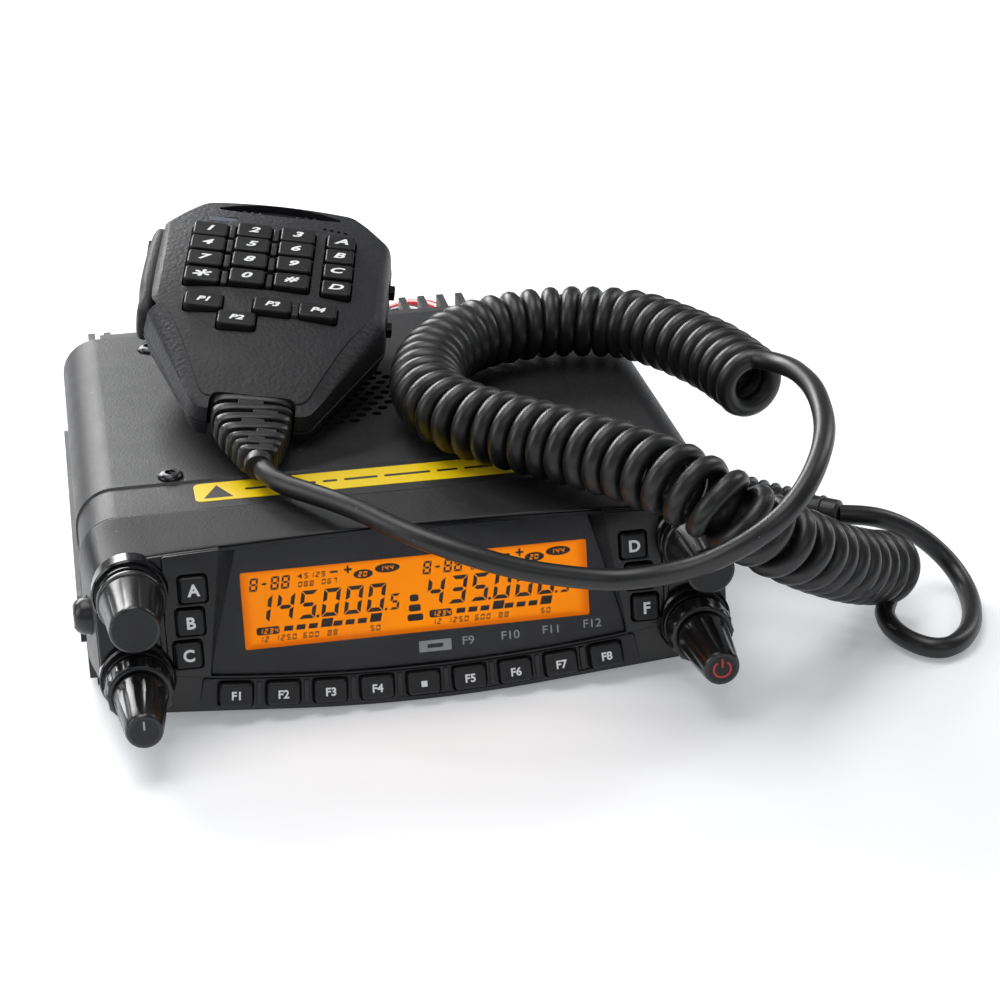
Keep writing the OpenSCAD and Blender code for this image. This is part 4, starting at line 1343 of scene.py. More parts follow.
def microphone_boot():
    """Flat tapered strain relief with ribs and alternating slots."""
    spine = [(0.0, -47.0, -12.8), (0.3, -52.0, -12.6), (1.3, -58.0, -11.9), (2.4, -64.0, -11.0),
             (3.1, -69.0, -9.8), (3.5, -73.4, -8.9)]
    widths = [9.4, 9.3, 8.1, 6.2, 4.5, 3.3]
    depths = [4.5, 4.4, 4.0, 3.6, 3.3, 3.15]
    line = smooth_route(spine, 40)
    boot = Piece("mic_cord_boot")

    def along(values, at):
        k = min(at * 5, 4.999)
        return values[int(k)] + (values[int(k) + 1] - values[int(k)]) * (k - int(k))

    def ring(at, grow=0.0):
        w, d = along(widths, at) + grow, along(depths, at) + grow
        i = round(at * 200)
        centre = line[i]
        ahead = (line[min(i + 1, 200)] - line[max(i - 1, 0)]).normalized()
        side = Vector((1, 0, 0)) - ahead * ahead.x
        side.normalize()
        other = ahead.cross(side)
        points = []
        for n in range(40):
            a = 2 * math.pi * n / 40
            c, s = math.cos(a), math.sin(a)
            points.append(centre + side * w * math.copysign(abs(c) ** 0.5, c)
                          + other * d * math.copysign(abs(s) ** 0.5, s))
        return points

    boot.add(loft([ring(i / 40, -1.15) for i in range(41)]), "boot", MIC)
    for i in range(7):
        at = 0.125 * i + 0.02
        boot.add(loft([ring(at, -1.3), ring(at + 0.005, -0.3), ring(at + 0.02, 0.0),
                       ring(at + 0.065, 0.0), ring(at + 0.08, -0.3), ring(at + 0.085, -1.3)]),
                 "boot", MIC)
        # web closing part of the gap to the next rib, left and right in turn
        if i < 6:
            centre = line[round((at + 0.105) * 200)]
            wide, tall = along(widths, at + 0.105), along(depths, at + 0.105)
            for sign in (-1, 1):
                web = soft_rectangle(wide * 0.62, 2.2, 0.3, 2)
                shift = (0.5 if (i % 2) == (sign > 0) else -0.08) * wide * 0.62
                boot.add(block(web, 0, tall - 0.25, 0.2, 2), "boot",
                         MIC @ move(centre.x + shift, centre.y, centre.z)
                         @ turn("Y", 0 if sign > 0 else 180))
    boot.add(tube([line[176], line[188], line[200]], [3.3, 3.2, 3.0], 24), "boot", MIC)
    return boot.make("radio", 40, "key_rubber", ["mic_boot"])


def modular_plug():
    """Plug in the side socket with its moulded, ribbed strain relief."""
    plug = Piece("mic_cord_plug")
    body = move(0, -26, 19)
    side = body @ turn("Y", 90)
    plug.add(plate(soft_rectangle(7.8, 11.7, 0.8), 58, 71.4, (), 0.3), "boot", side)
    plug.add(plate(soft_rectangle(11.2, 14, 2.6), 70.6, 80, (), 1.6, 4), "boot", side)
    plug.add(plate(soft_rectangle(8.4, 10.6, 2.0), 79, 80.8, (), 0.5, 3), "boot", side)
    for k in range(3):
        plug.add(plate(soft_rectangle(11.7, 14.5, 2.8), 72.6 + k * 2.1, 73.6 + k * 2.1,
                       (), 0.35, 3), "boot", side)
    profile = rounded([(0, -1.5), (5.9, -1.5), (5.9, 2.0), (4.7, 10), (3.7, 22), (3.3, 31),
                       (2.4, 31.4), (0, 31.4)], 0.8, 3)
    plug.add(lathe(profile, 40), "boot", PLUG)
    rib = lathe(rounded([(0, 0), (5.7, 0), (6.05, 0.35), (6.05, 1.05), (5.7, 1.4), (0, 1.4)],
                        0.3, 3), 40)
    plug.add(repeat_line(rib, 8, (0, 0, 3.0), "boot", shrink=0.052, name="boot ribs"), "boot",
             PLUG, (0, 0, 5.4))
    return plug.make("radio", 40, "socket_plastic", ["mic_plug"])


# ---- Body ----


def cover_section(inset, half=70.0, top=40.0, start=55.0, thick=1.6):
    """Right half of the cover's cross-section as a closed ring of (x, z)."""
    centre_x, centre_z = half - 9, top - 9

    def arc(radius, order):
        return [(centre_x + radius * math.sin(math.pi / 2 * i / 12),
                 centre_z + radius * math.cos(math.pi / 2 * i / 12)) for i in order]

    outer, inner = 9 - inset, 9 - thick
    return ([(start, top - inset)] + arc(outer, range(13))
            + [(centre_x + outer, 28.0), (centre_x + inner, 28.0)]
            + arc(inner, range(12, -1, -1)) + [(start, top - thick)])


def perforated_panel(width, low_y, high_y, centre):
    """Flat panel with a round field of holes in staggered rows."""
    size = sizes()
    pattern = Pattern("perforated panel")
    across = pattern.input("Width", float(width))
    deep = pattern.input("Depth", float(high_y - low_y))
    hole = pattern.input("Hole diameter", size.vent_hole / MM)
    pitch = pattern.input("Hole pitch", size.vent_pitch / MM)
    field = pattern.input("Field radius", size.vent_field / MM)
    middle = pattern.input("Field centre", tuple(float(c) for c in centre) + (0.0,),
                           "NodeSocketVector")
    thick = pattern.input("Thickness", 1.6)
    row = pattern.math("MULTIPLY", pitch, 0.8660254)
    grid = pattern.node("GeometryNodeMeshGrid", None, {
        "Size X": pattern.math("MULTIPLY", pitch, 14), "Size Y": pattern.math("MULTIPLY", row, 16),
        "Vertices X": 15, "Vertices Y": 17}).outputs[0]
    where = pattern.node("ShaderNodeSeparateXYZ", None, {
        0: pattern.node("GeometryNodeInputPosition").outputs[0]})
    number = pattern.math("ROUND", pattern.math("ADD", pattern.math(
        "DIVIDE", where.outputs[1], row), 8.0))
    odd = pattern.math("MODULO", number, 2.0)
    shift = pattern.node("ShaderNodeCombineXYZ", None, {
        0: pattern.math("MULTIPLY", pattern.math("MULTIPLY", odd, pitch), 0.5)})
    grid = pattern.node("GeometryNodeSetPosition", None, {
        "Geometry": grid, "Offset": shift.outputs[0]}).outputs[0]
    reach = pattern.node("ShaderNodeVectorMath", {"operation": "LENGTH"}, {
        0: pattern.node("GeometryNodeInputPosition").outputs[0]})
    outside = pattern.math("GREATER_THAN", reach.outputs["Value"], field)
    kept = pattern.node("GeometryNodeDeleteGeometry", {"domain": "POINT"}, {
        "Geometry": grid, "Selection": outside}).outputs[0]
    kept = pattern.node("GeometryNodeSetPosition", None, {
        "Geometry": kept, "Offset": middle}).outputs[0]
    ring = pattern.node("GeometryNodeCurvePrimitiveCircle", None, {
        "Resolution": 18, "Radius": pattern.math("MULTIPLY", hole, 0.5)}).outputs[0]
    holes = pattern.node("GeometryNodeInstanceOnPoints", None, {
        "Points": kept, "Instance": ring}).outputs[0]
    holes = pattern.node("GeometryNodeRealizeInstances", None, {"Geometry": holes}).outputs[0]
    edge = pattern.node("GeometryNodeCurvePrimitiveQuadrilateral", None, {
        "Width": across, "Height": deep}).outputs[0]
    both = pattern.node("GeometryNodeJoinGeometry")
    pattern.tree.links.new(holes, both.inputs[0])
    pattern.tree.links.new(edge, both.inputs[0])
    sheet = pattern.node("GeometryNodeFillCurve", None, {0: both.outputs[0]}).outputs[0]
    down = pattern.node("ShaderNodeCombineXYZ", None, {
        2: pattern.math("MULTIPLY", thick, -1.0)})
    wall = pattern.node("GeometryNodeExtrudeMesh", None, {
        "Mesh": sheet, "Offset": down.outputs[0], "Offset Scale": 1.0, "Individual": False})
    whole = pattern.node("GeometryNodeJoinGeometry")
    pattern.tree.links.new(sheet, whole.inputs[0])
    pattern.tree.links.new(wall.outputs[0], whole.inputs[0])
    pattern.finish(whole.outputs[0], "cover")
    verts, faces = pattern.run()
    middle_y = (low_y + high_y) / 2
    return [(x, y + middle_y, z) for x, y, z in verts], faces


class TRANSCEIVER_OT_cover(bpy.types.Operator):
    """Makes the perforated top cover, its yellow strip and its screws"""

    bl_idname = "transceiver.cover"
    bl_label = "Top cover"

    def execute(self, context):
        cover = Piece("cover_top")
        cuts = ((57.0, 0.5), (56.5, 0.0), (-37.7, 0.0), (-38.3, 0.45), (-52.5, 0.45), (-53.0, 0.95))
        for side in (-1, 1):
            cover.add(loft([[(side * x, y, z) for x, z in cover_section(inset)]
                            for y, inset in cuts]), "cover")
        for group in (cuts[:2], cuts[2:]):
            sections = [[(-55, y, 40 - i), (55, y, 40 - i), (55, y, 38.4), (-55, y, 38.4)]
                        for y, i in group]
            cover.add(loft(sections), "cover")
        low, high = -37.7, 56.5
        centre_y = 7.0 - (low + high) / 2
        cover.add(perforated_panel(110, low, high, (-12, centre_y)), "cover", lift=(0, 0, 40))
        cover.cut([placed(lathe([(0, 0), (1.7, 0), (1.7, 6), (0, 6)], 24), move(x, y, 36))
                   for x in (-48.5, 48.5) for y in (-34.5, 46)])
        cover.make("radio", 34, "cover_paint", ["top_cover"])

        strip = Piece("cover_strip")
        strip.add(block(soft_rectangle(88, 9.6, 1.6, 6, 0, -44.2), 39.5, 39.68, 0.08, 2), "yellow")
        triangle = [(-42.2, -47.6), (-35.8, -47.6), (-39.0, -41.0)]
        strip.add(ink(triangle, 0.02), "black_ink", lift=(0, 0, 39.681))
        x = -33.0
        for width in (5.4, 8.6, 3.2, 7.4, 10.2, 4.6, 6.4, 8.8):
            strip.add(ink(soft_rectangle(width, 1.1, 0.3, 3, x + width / 2, -44.3), 0.02),
                      "black_ink", lift=(0, 0, 39.681))
            x += width + 1.5
        strip.make("radio", 30)

        head = carve(lathe(rounded([(0, -0.3), (2.85, -0.3), (2.9, 0.35), (2.2, 1.0), (0, 1.15)],
                                   0.35, 4), 40),
                     [placed(plate(circle(1.35, 6, start=0.3), 0, 2), move(0, 0, 0.35))])
        screws = Piece("cover_screw_heads")
        screws.add(repeat_grid(head, 2, 2, 97, 80.5, "steel", name="cover screws"), "steel",
                   lift=(0, 5.75, 40.02))
        for x in (-48.5, 48.5):
            for y in (-34.5, 46):
                screws.add(lathe([(0, 0), (1.25, 0), (1.25, 9.9), (0, 9.9)], 20), "steel",
                           lift=(x, y, 30))
        screws.make("radio", 34, "black_steel", ["cover_screws"])
        return {"FINISHED"}


# ---- Control head ----


def face_outline(grow=0.0):
    """Outline of the front: four round corners and bowed edges."""
    points = []
    for side in (-1, 1):
        points += circle(8.4 + grow, 48, side * 59.3, 12.6)
        points += circle(6.2 + grow, 48, side * 61.6, 31.6)
    for i in range(-8, 9):
        x = i * 6.25
        points.append((x, 0.6 + 3.5 * (x / 50) ** 2 - grow))
        points.append((x, 39.6 - (x / 50) ** 2 + grow))
    return wrap(points)


def seam_outline():
    """Outline of the head where it meets the body."""
    points = []
    for side in (-1, 1):
        points += circle(9, 48, side * 61, 31) + circle(6, 48, side * 64, 8)
    return wrap(points)


def lens_outline(grow=0.0):
    low = [(i / 16 * (44.6 + grow), 8.9 + 2.6 * (i / 16) ** 2 - grow) for i in range(-16, 17)]
    high = [(i / 16 * (40.6 + grow), 39.2 - 0.9 * (i / 16) ** 2 + grow)
            for i in range(16, -17, -1)]
    return low + high


def eased(outline, cut=0.8, steps=3, limit=25):
    """Outline with its sharp corners rounded."""
    made = []
    for i, p in enumerate(outline):
        a, b, c = (Vector(outline[i - 1]), Vector(p), Vector(outline[(i + 1) % len(outline)]))
        if (b - a).length < 1e-6 or (c - b).length < 1e-6:
            continue
        if math.degrees((b - a).angle(c - b)) < limit:
            made.append(tuple(b))
            continue
        reach = min(cut, (b - a).length * 0.45, (c - b).length * 0.45)
        p0, p1 = b + (a - b).normalized() * reach, b + (c - b).normalized() * reach
        for k in range(steps + 1):
            t = k / steps
            made.append(tuple(p0 * (1 - t) ** 2 + b * 2 * t * (1 - t) + p1 * t * t))
    return made


def in_face(outline, place):
    """An outline moved to a key's place on the face."""
    back = FACE.inverted() @ place
    return [tuple((back @ Vector((x, y, 0)))[:2]) for x, y in outline]


class TRANSCEIVER_OT_head_case(bpy.types.Operator):
    """Makes the moulded case of the control head"""

    bl_idname = "transceiver.head_case"
    bl_label = "Head case"

    def execute(self, context):
        rear = even(seam_outline(), 176)
        angles = [math.atan2(y - 20, x) for x, y in rear]
        front = spokes(face_outline(), (0, 20), angles)
        sections = []
        for share, inset in ((0, 6.0), (0, 0.75), (0.008, 0.35), (0.02, 0.12), (0.04, 0.0),
                             (0.2, 0.0), (0.4, -0.02), (0.6, -0.02), (0.8, 0.0), (0.95, 0.0),
                             (0.975, 0.12), (0.99, 0.4), (1.0, 0.9), (1.0, 6.0)):
            ring = []
            for (ax, az), (bx, bv), angle in zip(rear, front, angles):
                a = Vector((ax - inset * math.cos(angle), -53.25, az - inset * math.sin(angle)))
                b = FACE @ Vector((bx - inset * math.cos(angle), bv - inset * math.sin(angle),
                                   -1.95))
                ring.append(a.lerp(b, share))
            sections.append(ring)
        case = Piece("head_shell").add(loft(sections), "head")
        case.cut([placed(plate(soft_rectangle(81.2, 22, 0.8, 4, 0, 24.6), -8, 2), FACE),
                  placed(lathe([(0, 63.5), (4.3, 63.5), (4.3, 76), (0, 76)], 40), RELEASE)])
        case.make("radio", 30, "head_plastic", ["head_case"])

        button = Piece("release_cap")
        profile = rounded([(0, 66.6), (4.0, 66.6), (4.0, 70.6), (2.9, 72.1), (0, 72.15)], 1.1, 5)
        button.add(lathe(profile, 48), "soft_black", RELEASE)
        for k in (-1.6, 0, 1.6):
            button.add(block(soft_rectangle(0.5, 4.2, 0.24, 3), 71.6, 72.18, 0.1, 2),
                       "soft_black", RELEASE @ move(k, 0, 0))
        button.make("release", 30, "head_plastic", ["release_button"])
        return {"FINISHED"}


class TRANSCEIVER_OT_bezel(bpy.types.Operator):
    """Makes the glossy front with its key pockets and the pads behind the knobs"""

    bl_idname = "transceiver.bezel"
    bl_label = "Bezel"

    def execute(self, context):
        row = [in_face(soft_rectangle(7.5, 5.5, 0.8, 4), row_key_place(i)) for i in range(1, 10)]
        side = [in_face(soft_rectangle(6.1, 6.1, 0.8, 4), side_key_place(i)) for i in range(6)]
        bezel = Piece("head_face")
        bezel.add(plate(face_outline(-0.25), -1.93, -0.9, row + side + [lens_outline(0.14)],
                        0.35), "gloss", FACE)
        low = [(i / 14 * 53.7, 8.35 + 2.6 * (i / 14 * 53.7 / 44.6) ** 2) for i in range(-14, 15)]
        high = [(i / 14 * 53.2, 39.15 - (i / 14 * 53.2 / 50) ** 2) for i in range(14, -15, -1)]
        centre = eased(low + high, 1.0, 4)
        bezel.add(plate(centre, -1.2, -0.02, [lens_outline(0.14)] + side, 0.32), "gloss", FACE)
        low = [(i / 17 * 47.7, 1.75 + 3.3 * (i / 17 * 47.7 / 50) ** 2) for i in range(-17, 18)]
        high = [(i / 15 * 46.6, 8.08 + 2.6 * (i / 15 * 46.6 / 44.6) ** 2)
                for i in range(15, -16, -1)]
        band = eased(low + high, 0.8, 3)
        bezel.add(plate(band, -1.2, -0.42, row, 0.25), "lens_rim", FACE)
        for i in range(8):
            a, b = row_key_place(i + 1), row_key_place(i + 2)
            middle = FACE.inverted() @ ((a.translation + b.translation) / 2)
            tilt = math.degrees(math.atan(3.5 * middle.x / 1600))
            bezel.add(block(soft_rectangle(1.15, 5.2, 0.45, 3), -0.6, -0.12, 0.2, 2), "gloss",
                      FACE @ move(middle.x, middle.y, 0) @ turn("Z", tilt))
        for name, sign in SIDES:
            for height, reach in ((DIAL_Z, DIAL_Y), (VOLUME_Z, VOLUME_Y)):
                profile = [(3.6, reach - 6.0), (8.0, reach - 6.0), (8.1, reach - 2.3),
                           (7.75, reach - 1.8), (7.5, reach - 2.1), (7.25, reach - 2.1),
                           (7.15, reach - 0.6), (6.9, reach - 0.35), (3.6, reach - 0.3),
                           (3.6, reach - 6.0)]
                verts, faces = lathe(profile, 64)
                bezel.add((verts, faces[:-2]), "gloss", knob_place(sign, height))
            # small posts either side of the key blocks
            bezel.add(block(soft_rectangle(1.2, 21.5, 0.5, 3), -1.2, 0.0, 0.3, 2), "gloss",
                      FACE @ move(sign * 54.1, 24.4, 0))
        bezel.make("radio", 30, "gloss_black", ["head_bezel"])
        return {"FINISHED"}


SEGMENTS = {"0": "abcdef", "1": "bc", "2": "abged", "3": "abgcd", "4": "fgbc", "5": "afgcd",
            "6": "afgedc", "7": "abc", "8": "abcdefg", "9": "abcdfg", "-": "g"}


def digit(character, x, y, width, height, thick, slant=0.17):
    """Slanted seven-segment digit as polygons, its lower left corner at x, y."""
    half, t, gap = height / 2, thick, thick * 0.16
    bars = {
        "a": [(gap, height), (width - gap, height), (width - t - gap, height - t),
              (t + gap, height - t)],
        "d": [(gap, 0), (width - gap, 0), (width - t - gap, t), (t + gap, t)],
        "g": [(t * 0.5 + gap, half), (t + gap, half + t / 2), (width - t - gap, half + t / 2),
              (width - t * 0.5 - gap, half), (width - t - gap, half - t / 2),
              (t + gap, half - t / 2)],
        "f": [(0, height - gap), (t, height - t - gap), (t, half + t / 2 + gap),
              (0, half + gap)],
        "b": [(width, height - gap), (width - t, height - t - gap),
              (width - t, half + t / 2 + gap), (width, half + gap)],
        "e": [(0, gap), (t, t + gap), (t, half - t / 2 - gap), (0, half - gap)],
        "c": [(width, gap), (width - t, t + gap), (width - t, half - t / 2 - gap),
              (width, half - gap)],
    }
    return [[(x + px + py * slant, y + py) for px, py in bars[s]] for s in SEGMENTS[character]]


class TRANSCEIVER_OT_display(bpy.types.Operator):
    """Makes the amber display with its segments, its printed surround and the lens"""

    bl_idname = "transceiver.display"
    bl_label = "Display"

    def execute(self, context):
        panel = Piece("display_panel")
        panel.add(block(soft_rectangle(78.8, 21, 0.6, 3, 0, 24.4), -7.2, -2.6, 0.15, 2),
                  "display", FACE)
        z = -2.59
        over = z + 0.04

        def draw(polygon, kind="segment", height=z):
            turned = sum(p[0] * q[1] - q[0] * p[1]
                         for p, q in zip(polygon, polygon[1:] + polygon[:1]))
            panel.add(ink(polygon if turned > 0 else polygon[::-1], 0.03), kind, FACE,
                      (0, 0, height))

        def figures(text, x, y, high=1.2, kind="segment", height=z):
            """Small figures in a row, from x to the right."""
            for character in text:
                for bar in digit(character, x, y, high * 0.72, high, high * 0.23):
                    draw(bar, kind, height)
                x += high

        def point(x, wide, tall, lean):
            """Decimal point at the foot of the large figures."""
            draw([(x, 21.0), (x + wide, 21.0), (x + wide + lean, 21.0 + tall),
                  (x + lean, 21.0 + tall)])

        for left, number in ((-35.4, "145000"), (1.6, "435000")):
            x = left
            for character in "8-88":
                for bar in digit(character, x, 28.0, 1.75, 2.9, 0.46):
                    draw(bar)
                x += 2.25
            draw([(left + 10.4, 30.4), (left + 11.4, 30.95), (left + 11.4, 29.85)])
            figures("5129", left + 11.8, 29.8)
            figures("088", left + 10.4, 28.0)
            figures("067", left + 15.4, 28.1)
            draw(soft_rectangle(1.7, 0.45, 0.1, 3, left + 18.2, 30.6))
            draw(soft_rectangle(1.7, 0.45, 0.1, 3, left + 21.2, 30.8))
            draw(soft_rectangle(0.45, 1.7, 0.1, 3, left + 21.2, 30.8))
            for at, reach, text, up in ((24.4, 2.1, "20", 29.5), (29.6, 2.7, "144", 30.3)):
                draw([(left + at + reach * c, up + 1.0 * s) for c, s in circle(1, 24)])
                figures(text, left + at - 0.58 * len(text), up - 0.55, 1.1, "display", over)
            x = left + 0.2
            for k, character in enumerate(number):
                for bar in digit(character, x, 21.0, 3.6, 6.1, 0.86, 0.2):
                    draw(bar)
                x += 4.85
                if k == 2:
                    point(x - 0.95, 0.6, 0.6, 0.1)
            point(x - 0.85, 0.5, 0.55, 0.08)
            for bar in digit("5", x + 0.1, 21.0, 2.0, 3.5, 0.54, 0.2):
                draw(bar)
            draw(soft_rectangle(4.9, 1.7, 0.5, 4, left + 3.4, 19.2))
            figures("1234", left + 1.4, 18.6, 1.1, "display", over)
            for k in range(8):
                tall, wide = (1.85, 2.6) if k in (3, 7) else (1.1, 2.1)
                bx = left + 6.7 + 2.62 * k
                draw([(bx, 18.75), (bx + wide - 0.2, 18.75),
                      (bx + wide + tall * 0.25 - 0.2, 18.75 + tall),
                      (bx + tall * 0.25, 18.75 + tall)])
            for text, start in (("12", 1.2), ("1250", 4.6), ("600", 10.6), ("88", 15.8),
                                ("50", 25.0)):
                figures(text, left + start, 16.75, 1.25)
        for y, width in ((23.4, 1.9), (21.2, 2.6), (19.1, 3.4)):
            draw(soft_rectangle(width, 1.5, 0.45, 4, -0.5, y - 0.3))
        panel.make("radio", 30, "orange_display", ["lcd_panel"])

        rim = Piece("lens_surround")
        rim.add(plate(lens_outline(-0.05), -1.28, -1.12,
                      [soft_rectangle(74.2, 16.8, 0.5, 4, 0, 24.25)], 0.04, 1), "lens_rim", FACE)
        tag = plate(soft_rectangle(7.0, 2.5, 0.25, 3, 3.2, 12.55), -1.13, -1.1,
                    [soft_rectangle(3.4, 0.9, 0.2, 3, 3.2, 12.55)], 0.005, 1)
        rim.add(tag, "grey_print", FACE)
        for k, x in enumerate((10.4, 19.6, 28.4, 37.6)):
            rim.add(letters("F%d" % (9 + k), 2.6, 0.02, 0.02, 0, 1.1), "grey_print", FACE,
                    (x, 12.9 + 1.2 * (x / 42) ** 2, -1.1), False)
        rim.make("radio", 30, "smoked_lens")

        lens = Piece("display_lens")
        lens.add(plate(eased(lens_outline(0.0), 0.9, 4), -1.08, 0.28, (), 0.42, 4), "lens", FACE)
        lens.make("radio", 30, "smoked_lens", ["lens"])
        return {"FINISHED"}


class TRANSCEIVER_OT_keys(bpy.types.Operator):
    """Makes the nine keys of the lower row and the six side keys, each on its own body"""

    bl_idname = "transceiver.keys"
    bl_label = "Keys"

    def execute(self, context):
        high = sizes().print_height / MM
        for i in range(1, 10):
            place = row_key_place(i)
            key = Piece("key_cap_row_%d" % i)
            key.add(block(soft_rectangle(6.9, 4.9, 0.85, 5), -0.98, 1.22, 0.6, 5), "key", place)
            if i == 5:
                key.add(ink(soft_rectangle(1.3, 1.3, 0.1, 2), high), "white_print", place,
                        (0, -0.1, 1.215))
            else:
                key.add(letters("F%d" % (i if i < 5 else i - 1), 2.5, high, 0.07),
                        "white_print", place, (0, -0.05, 1.225), False)
            key.make("key_row_%d" % i, 30, "key_plastic", ["key_row_%d" % i])
        for i, name in enumerate("abcdef"):
            place = side_key_place(i)
            key = Piece("key_cap_" + name)
            key.add(block(soft_rectangle(5.5, 5.5, 0.75, 5), -0.98, 1.22, 0.55, 5), "key", place)
            key.add(letters(name.upper(), 3.5, high, 0.12), "white_print", place,
                    (0.1, 0, 1.225), False)
            key.make("key_" + name, 30, "key_plastic", ["key_" + name])
        return {"FINISHED"}


class TRANSCEIVER_OT_knobs(bpy.types.Operator):
    """Makes the dials, the volume knobs and the rings behind them, left and right"""

    bl_idname = "transceiver.knobs"
    bl_label = "Knobs"

    def execute(self, context):
        flutes = sizes().dial_flutes
        high = sizes().print_height / MM

        def dial_reach(angle, radius, height):
            if height < 3.4 or height > 14.2:
                return radius
            share = min((height - 3.4) / 2.0, (14.2 - height) / 0.8, 1.0)
            wave = abs(math.cos(flutes * angle / 2)) ** 0.6
            return radius - 0.17 * share * (1 - wave)

        def ring_reach(angle, radius, height):
            if not 0.7 < height < 4.8 or radius < 6:
                return radius
            return radius + 0.28 * math.cos(14 * angle) * min((height - 0.7) / 0.6,
                                                              (4.8 - height) / 0.5, 1.0)

        def knob_reach(angle, radius, height):
            if height < 6.2 or radius < 3:
                return radius
            step = math.pi / 4
            off = (angle + step / 2) % step - step / 2
            far = 6.6 - math.tan(math.radians(4)) * (height - 6.0)
            inside = 1.75 ** 2 - (far * math.sin(off)) ** 2
            if inside <= 0:
                return radius
            cut = far * math.cos(off) - math.sqrt(inside)
            if height < 7.4:
                cut += (7.4 - height) * 0.9
            return min(radius, cut)

        for name, sign in SIDES:
            place = knob_place(sign, DIAL_Z) @ move(0, 0, DIAL_Y)
            dial = Piece(name + "_dial_cap")
            profile = [(0, 0.72), (6.9, 0.72), (7.18, 1.0), (7.2, 1.9), (7.0, 2.3), (6.75, 2.5),
                       (6.66, 3.0), (6.6, 3.6), (6.3, 5.6), (6.0, 7.6), (5.74, 9.6),
                       (5.5, 11.6), (5.33, 13.2), (5.26, 13.9), (5.12, 14.4), (4.86, 14.66),
                       (4.6, 14.72), (0, 14.72)]
            dial.add(lathe(profile, 144, dial_reach), "knob", place)
            dial.add(lathe([(0, 14.7), (4.5, 14.7), (4.56, 14.74), (4.5, 14.78), (0, 14.78)], 64),
                     "knob_tip", place)
            dial.make(name + "_dial", 34, "knob_black", [name + "_dial_knob"])

            place = knob_place(sign, VOLUME_Z) @ move(0, 0, VOLUME_Y)
            ring = Piece(name + "_squelch_cap")
            profile = [(2.3, 0.42), (6.7, 0.42), (7.0, 0.7), (7.05, 1.0), (7.05, 1.6), (7.0, 2.6),
                       (6.9, 3.6), (6.85, 4.2), (6.7, 4.75), (6.3, 5.0), (5.9, 5.0), (5.75, 4.7),
                       (2.3, 4.6), (2.3, 0.42)]
            verts, faces = lathe(profile, 168, ring_reach)
            ring.add((verts, faces[:-2]), "knob", place)
            ring.make(name + "_squelch", 34, "knob_black", [name + "_squelch_ring"])

            knob = Piece(name + "_volume_cap")
            profile = [(0, 5.1), (5.1, 5.1), (5.5, 5.45), (5.55, 6.2), (5.5, 6.6), (5.4, 7.4),
                       (5.25, 9.0), (5.05, 11.0), (4.85, 13.0), (4.55, 15.4), (4.25, 17.8),
                       (3.98, 19.8), (3.85, 20.3), (3.6, 20.65), (3.3, 20.75), (0, 20.75)]
            knob.add(lathe(profile, 160, knob_reach), "knob", place)
            knob.add(lathe([(0, 20.74), (2.9, 20.74), (2.95, 20.76), (2.9, 20.79), (0, 20.79)],
                           48), "knob_tip", place)
            if sign > 0:
                corners = ((1.62, 0), (2.05, 0), (2.05, high), (1.62, high))
                bow = loft([[(r * math.cos(a), r * math.sin(a), z) for r, z in corners]
                            for a in (math.radians(d) for d in range(125, 416, 10))])
                marks = (bow, ink(soft_rectangle(0.42, 2.1, 0.15, 3, 0, 1.35), high))
            else:
                marks = (ink(soft_rectangle(0.4, 2.0, 0.15, 3, 0, 1.5), high),)
            for mark in marks:
                knob.add(mark, "red_print" if sign > 0 else "grey_print", place, (0, 0, 20.795))
            knob.make(name + "_volume", 34, "knob_black", [name + "_volume_knob"])
        return {"FINISHED"}


# ---- Microphone ----


def mic_outline(grow=0.0):
    """Outline of the shells: eight round corners."""
    points = []
    for side in (-1, 1):
        for x, y in ((17, 24.5), (24.8, 16), (24.8, -17), (10.5, -49)):
            points += circle(4 + grow, 48, side * x, y)
    return wrap(points)


MIC_CENTRE = (0.0, -8.0)


def mic_angles():
    return [math.atan2(y - MIC_CENTRE[1], x - MIC_CENTRE[0])
            for x, y in even(mic_outline(), 168)]


def smooth_step(value, low, high):
    t = min(max((value - low) / (high - low), 0.0), 1.0)
    return t * t * (3 - 2 * t)


def front_height(x, y):
    return -1.15 + pad_crown(x, y)


def rear_height(x, y):
    if y > -6:
        return -25.5 + 1.8 * ((y + 6) / 29) ** 2 + 0.0022 * x * x
    return -25.5 + 8.3 * ((-6 - y) / 40) ** 1.3 + 0.0022 * x * x


def outline_rings(angles, steps):
    """Rings of the outline, each as far out and as high as its step says."""
    return [[(x, y, w) for x, y in spokes(mic_outline(grow), MIC_CENTRE, angles)]
            for grow, w in steps]


def closing_rings(last, count, height):
    """Rings drawn in to the centre that follow a height over the plane."""
    made = []
    for share in [1 - k / count for k in range(1, count)] + [0.02]:
        ring = []
        for x, y, _ in last:
            px = MIC_CENTRE[0] + (x - MIC_CENTRE[0]) * share
            py = MIC_CENTRE[1] + (y - MIC_CENTRE[1]) * share
            ring.append((px, py, height(px, py)))
        made.append(ring)
    return made


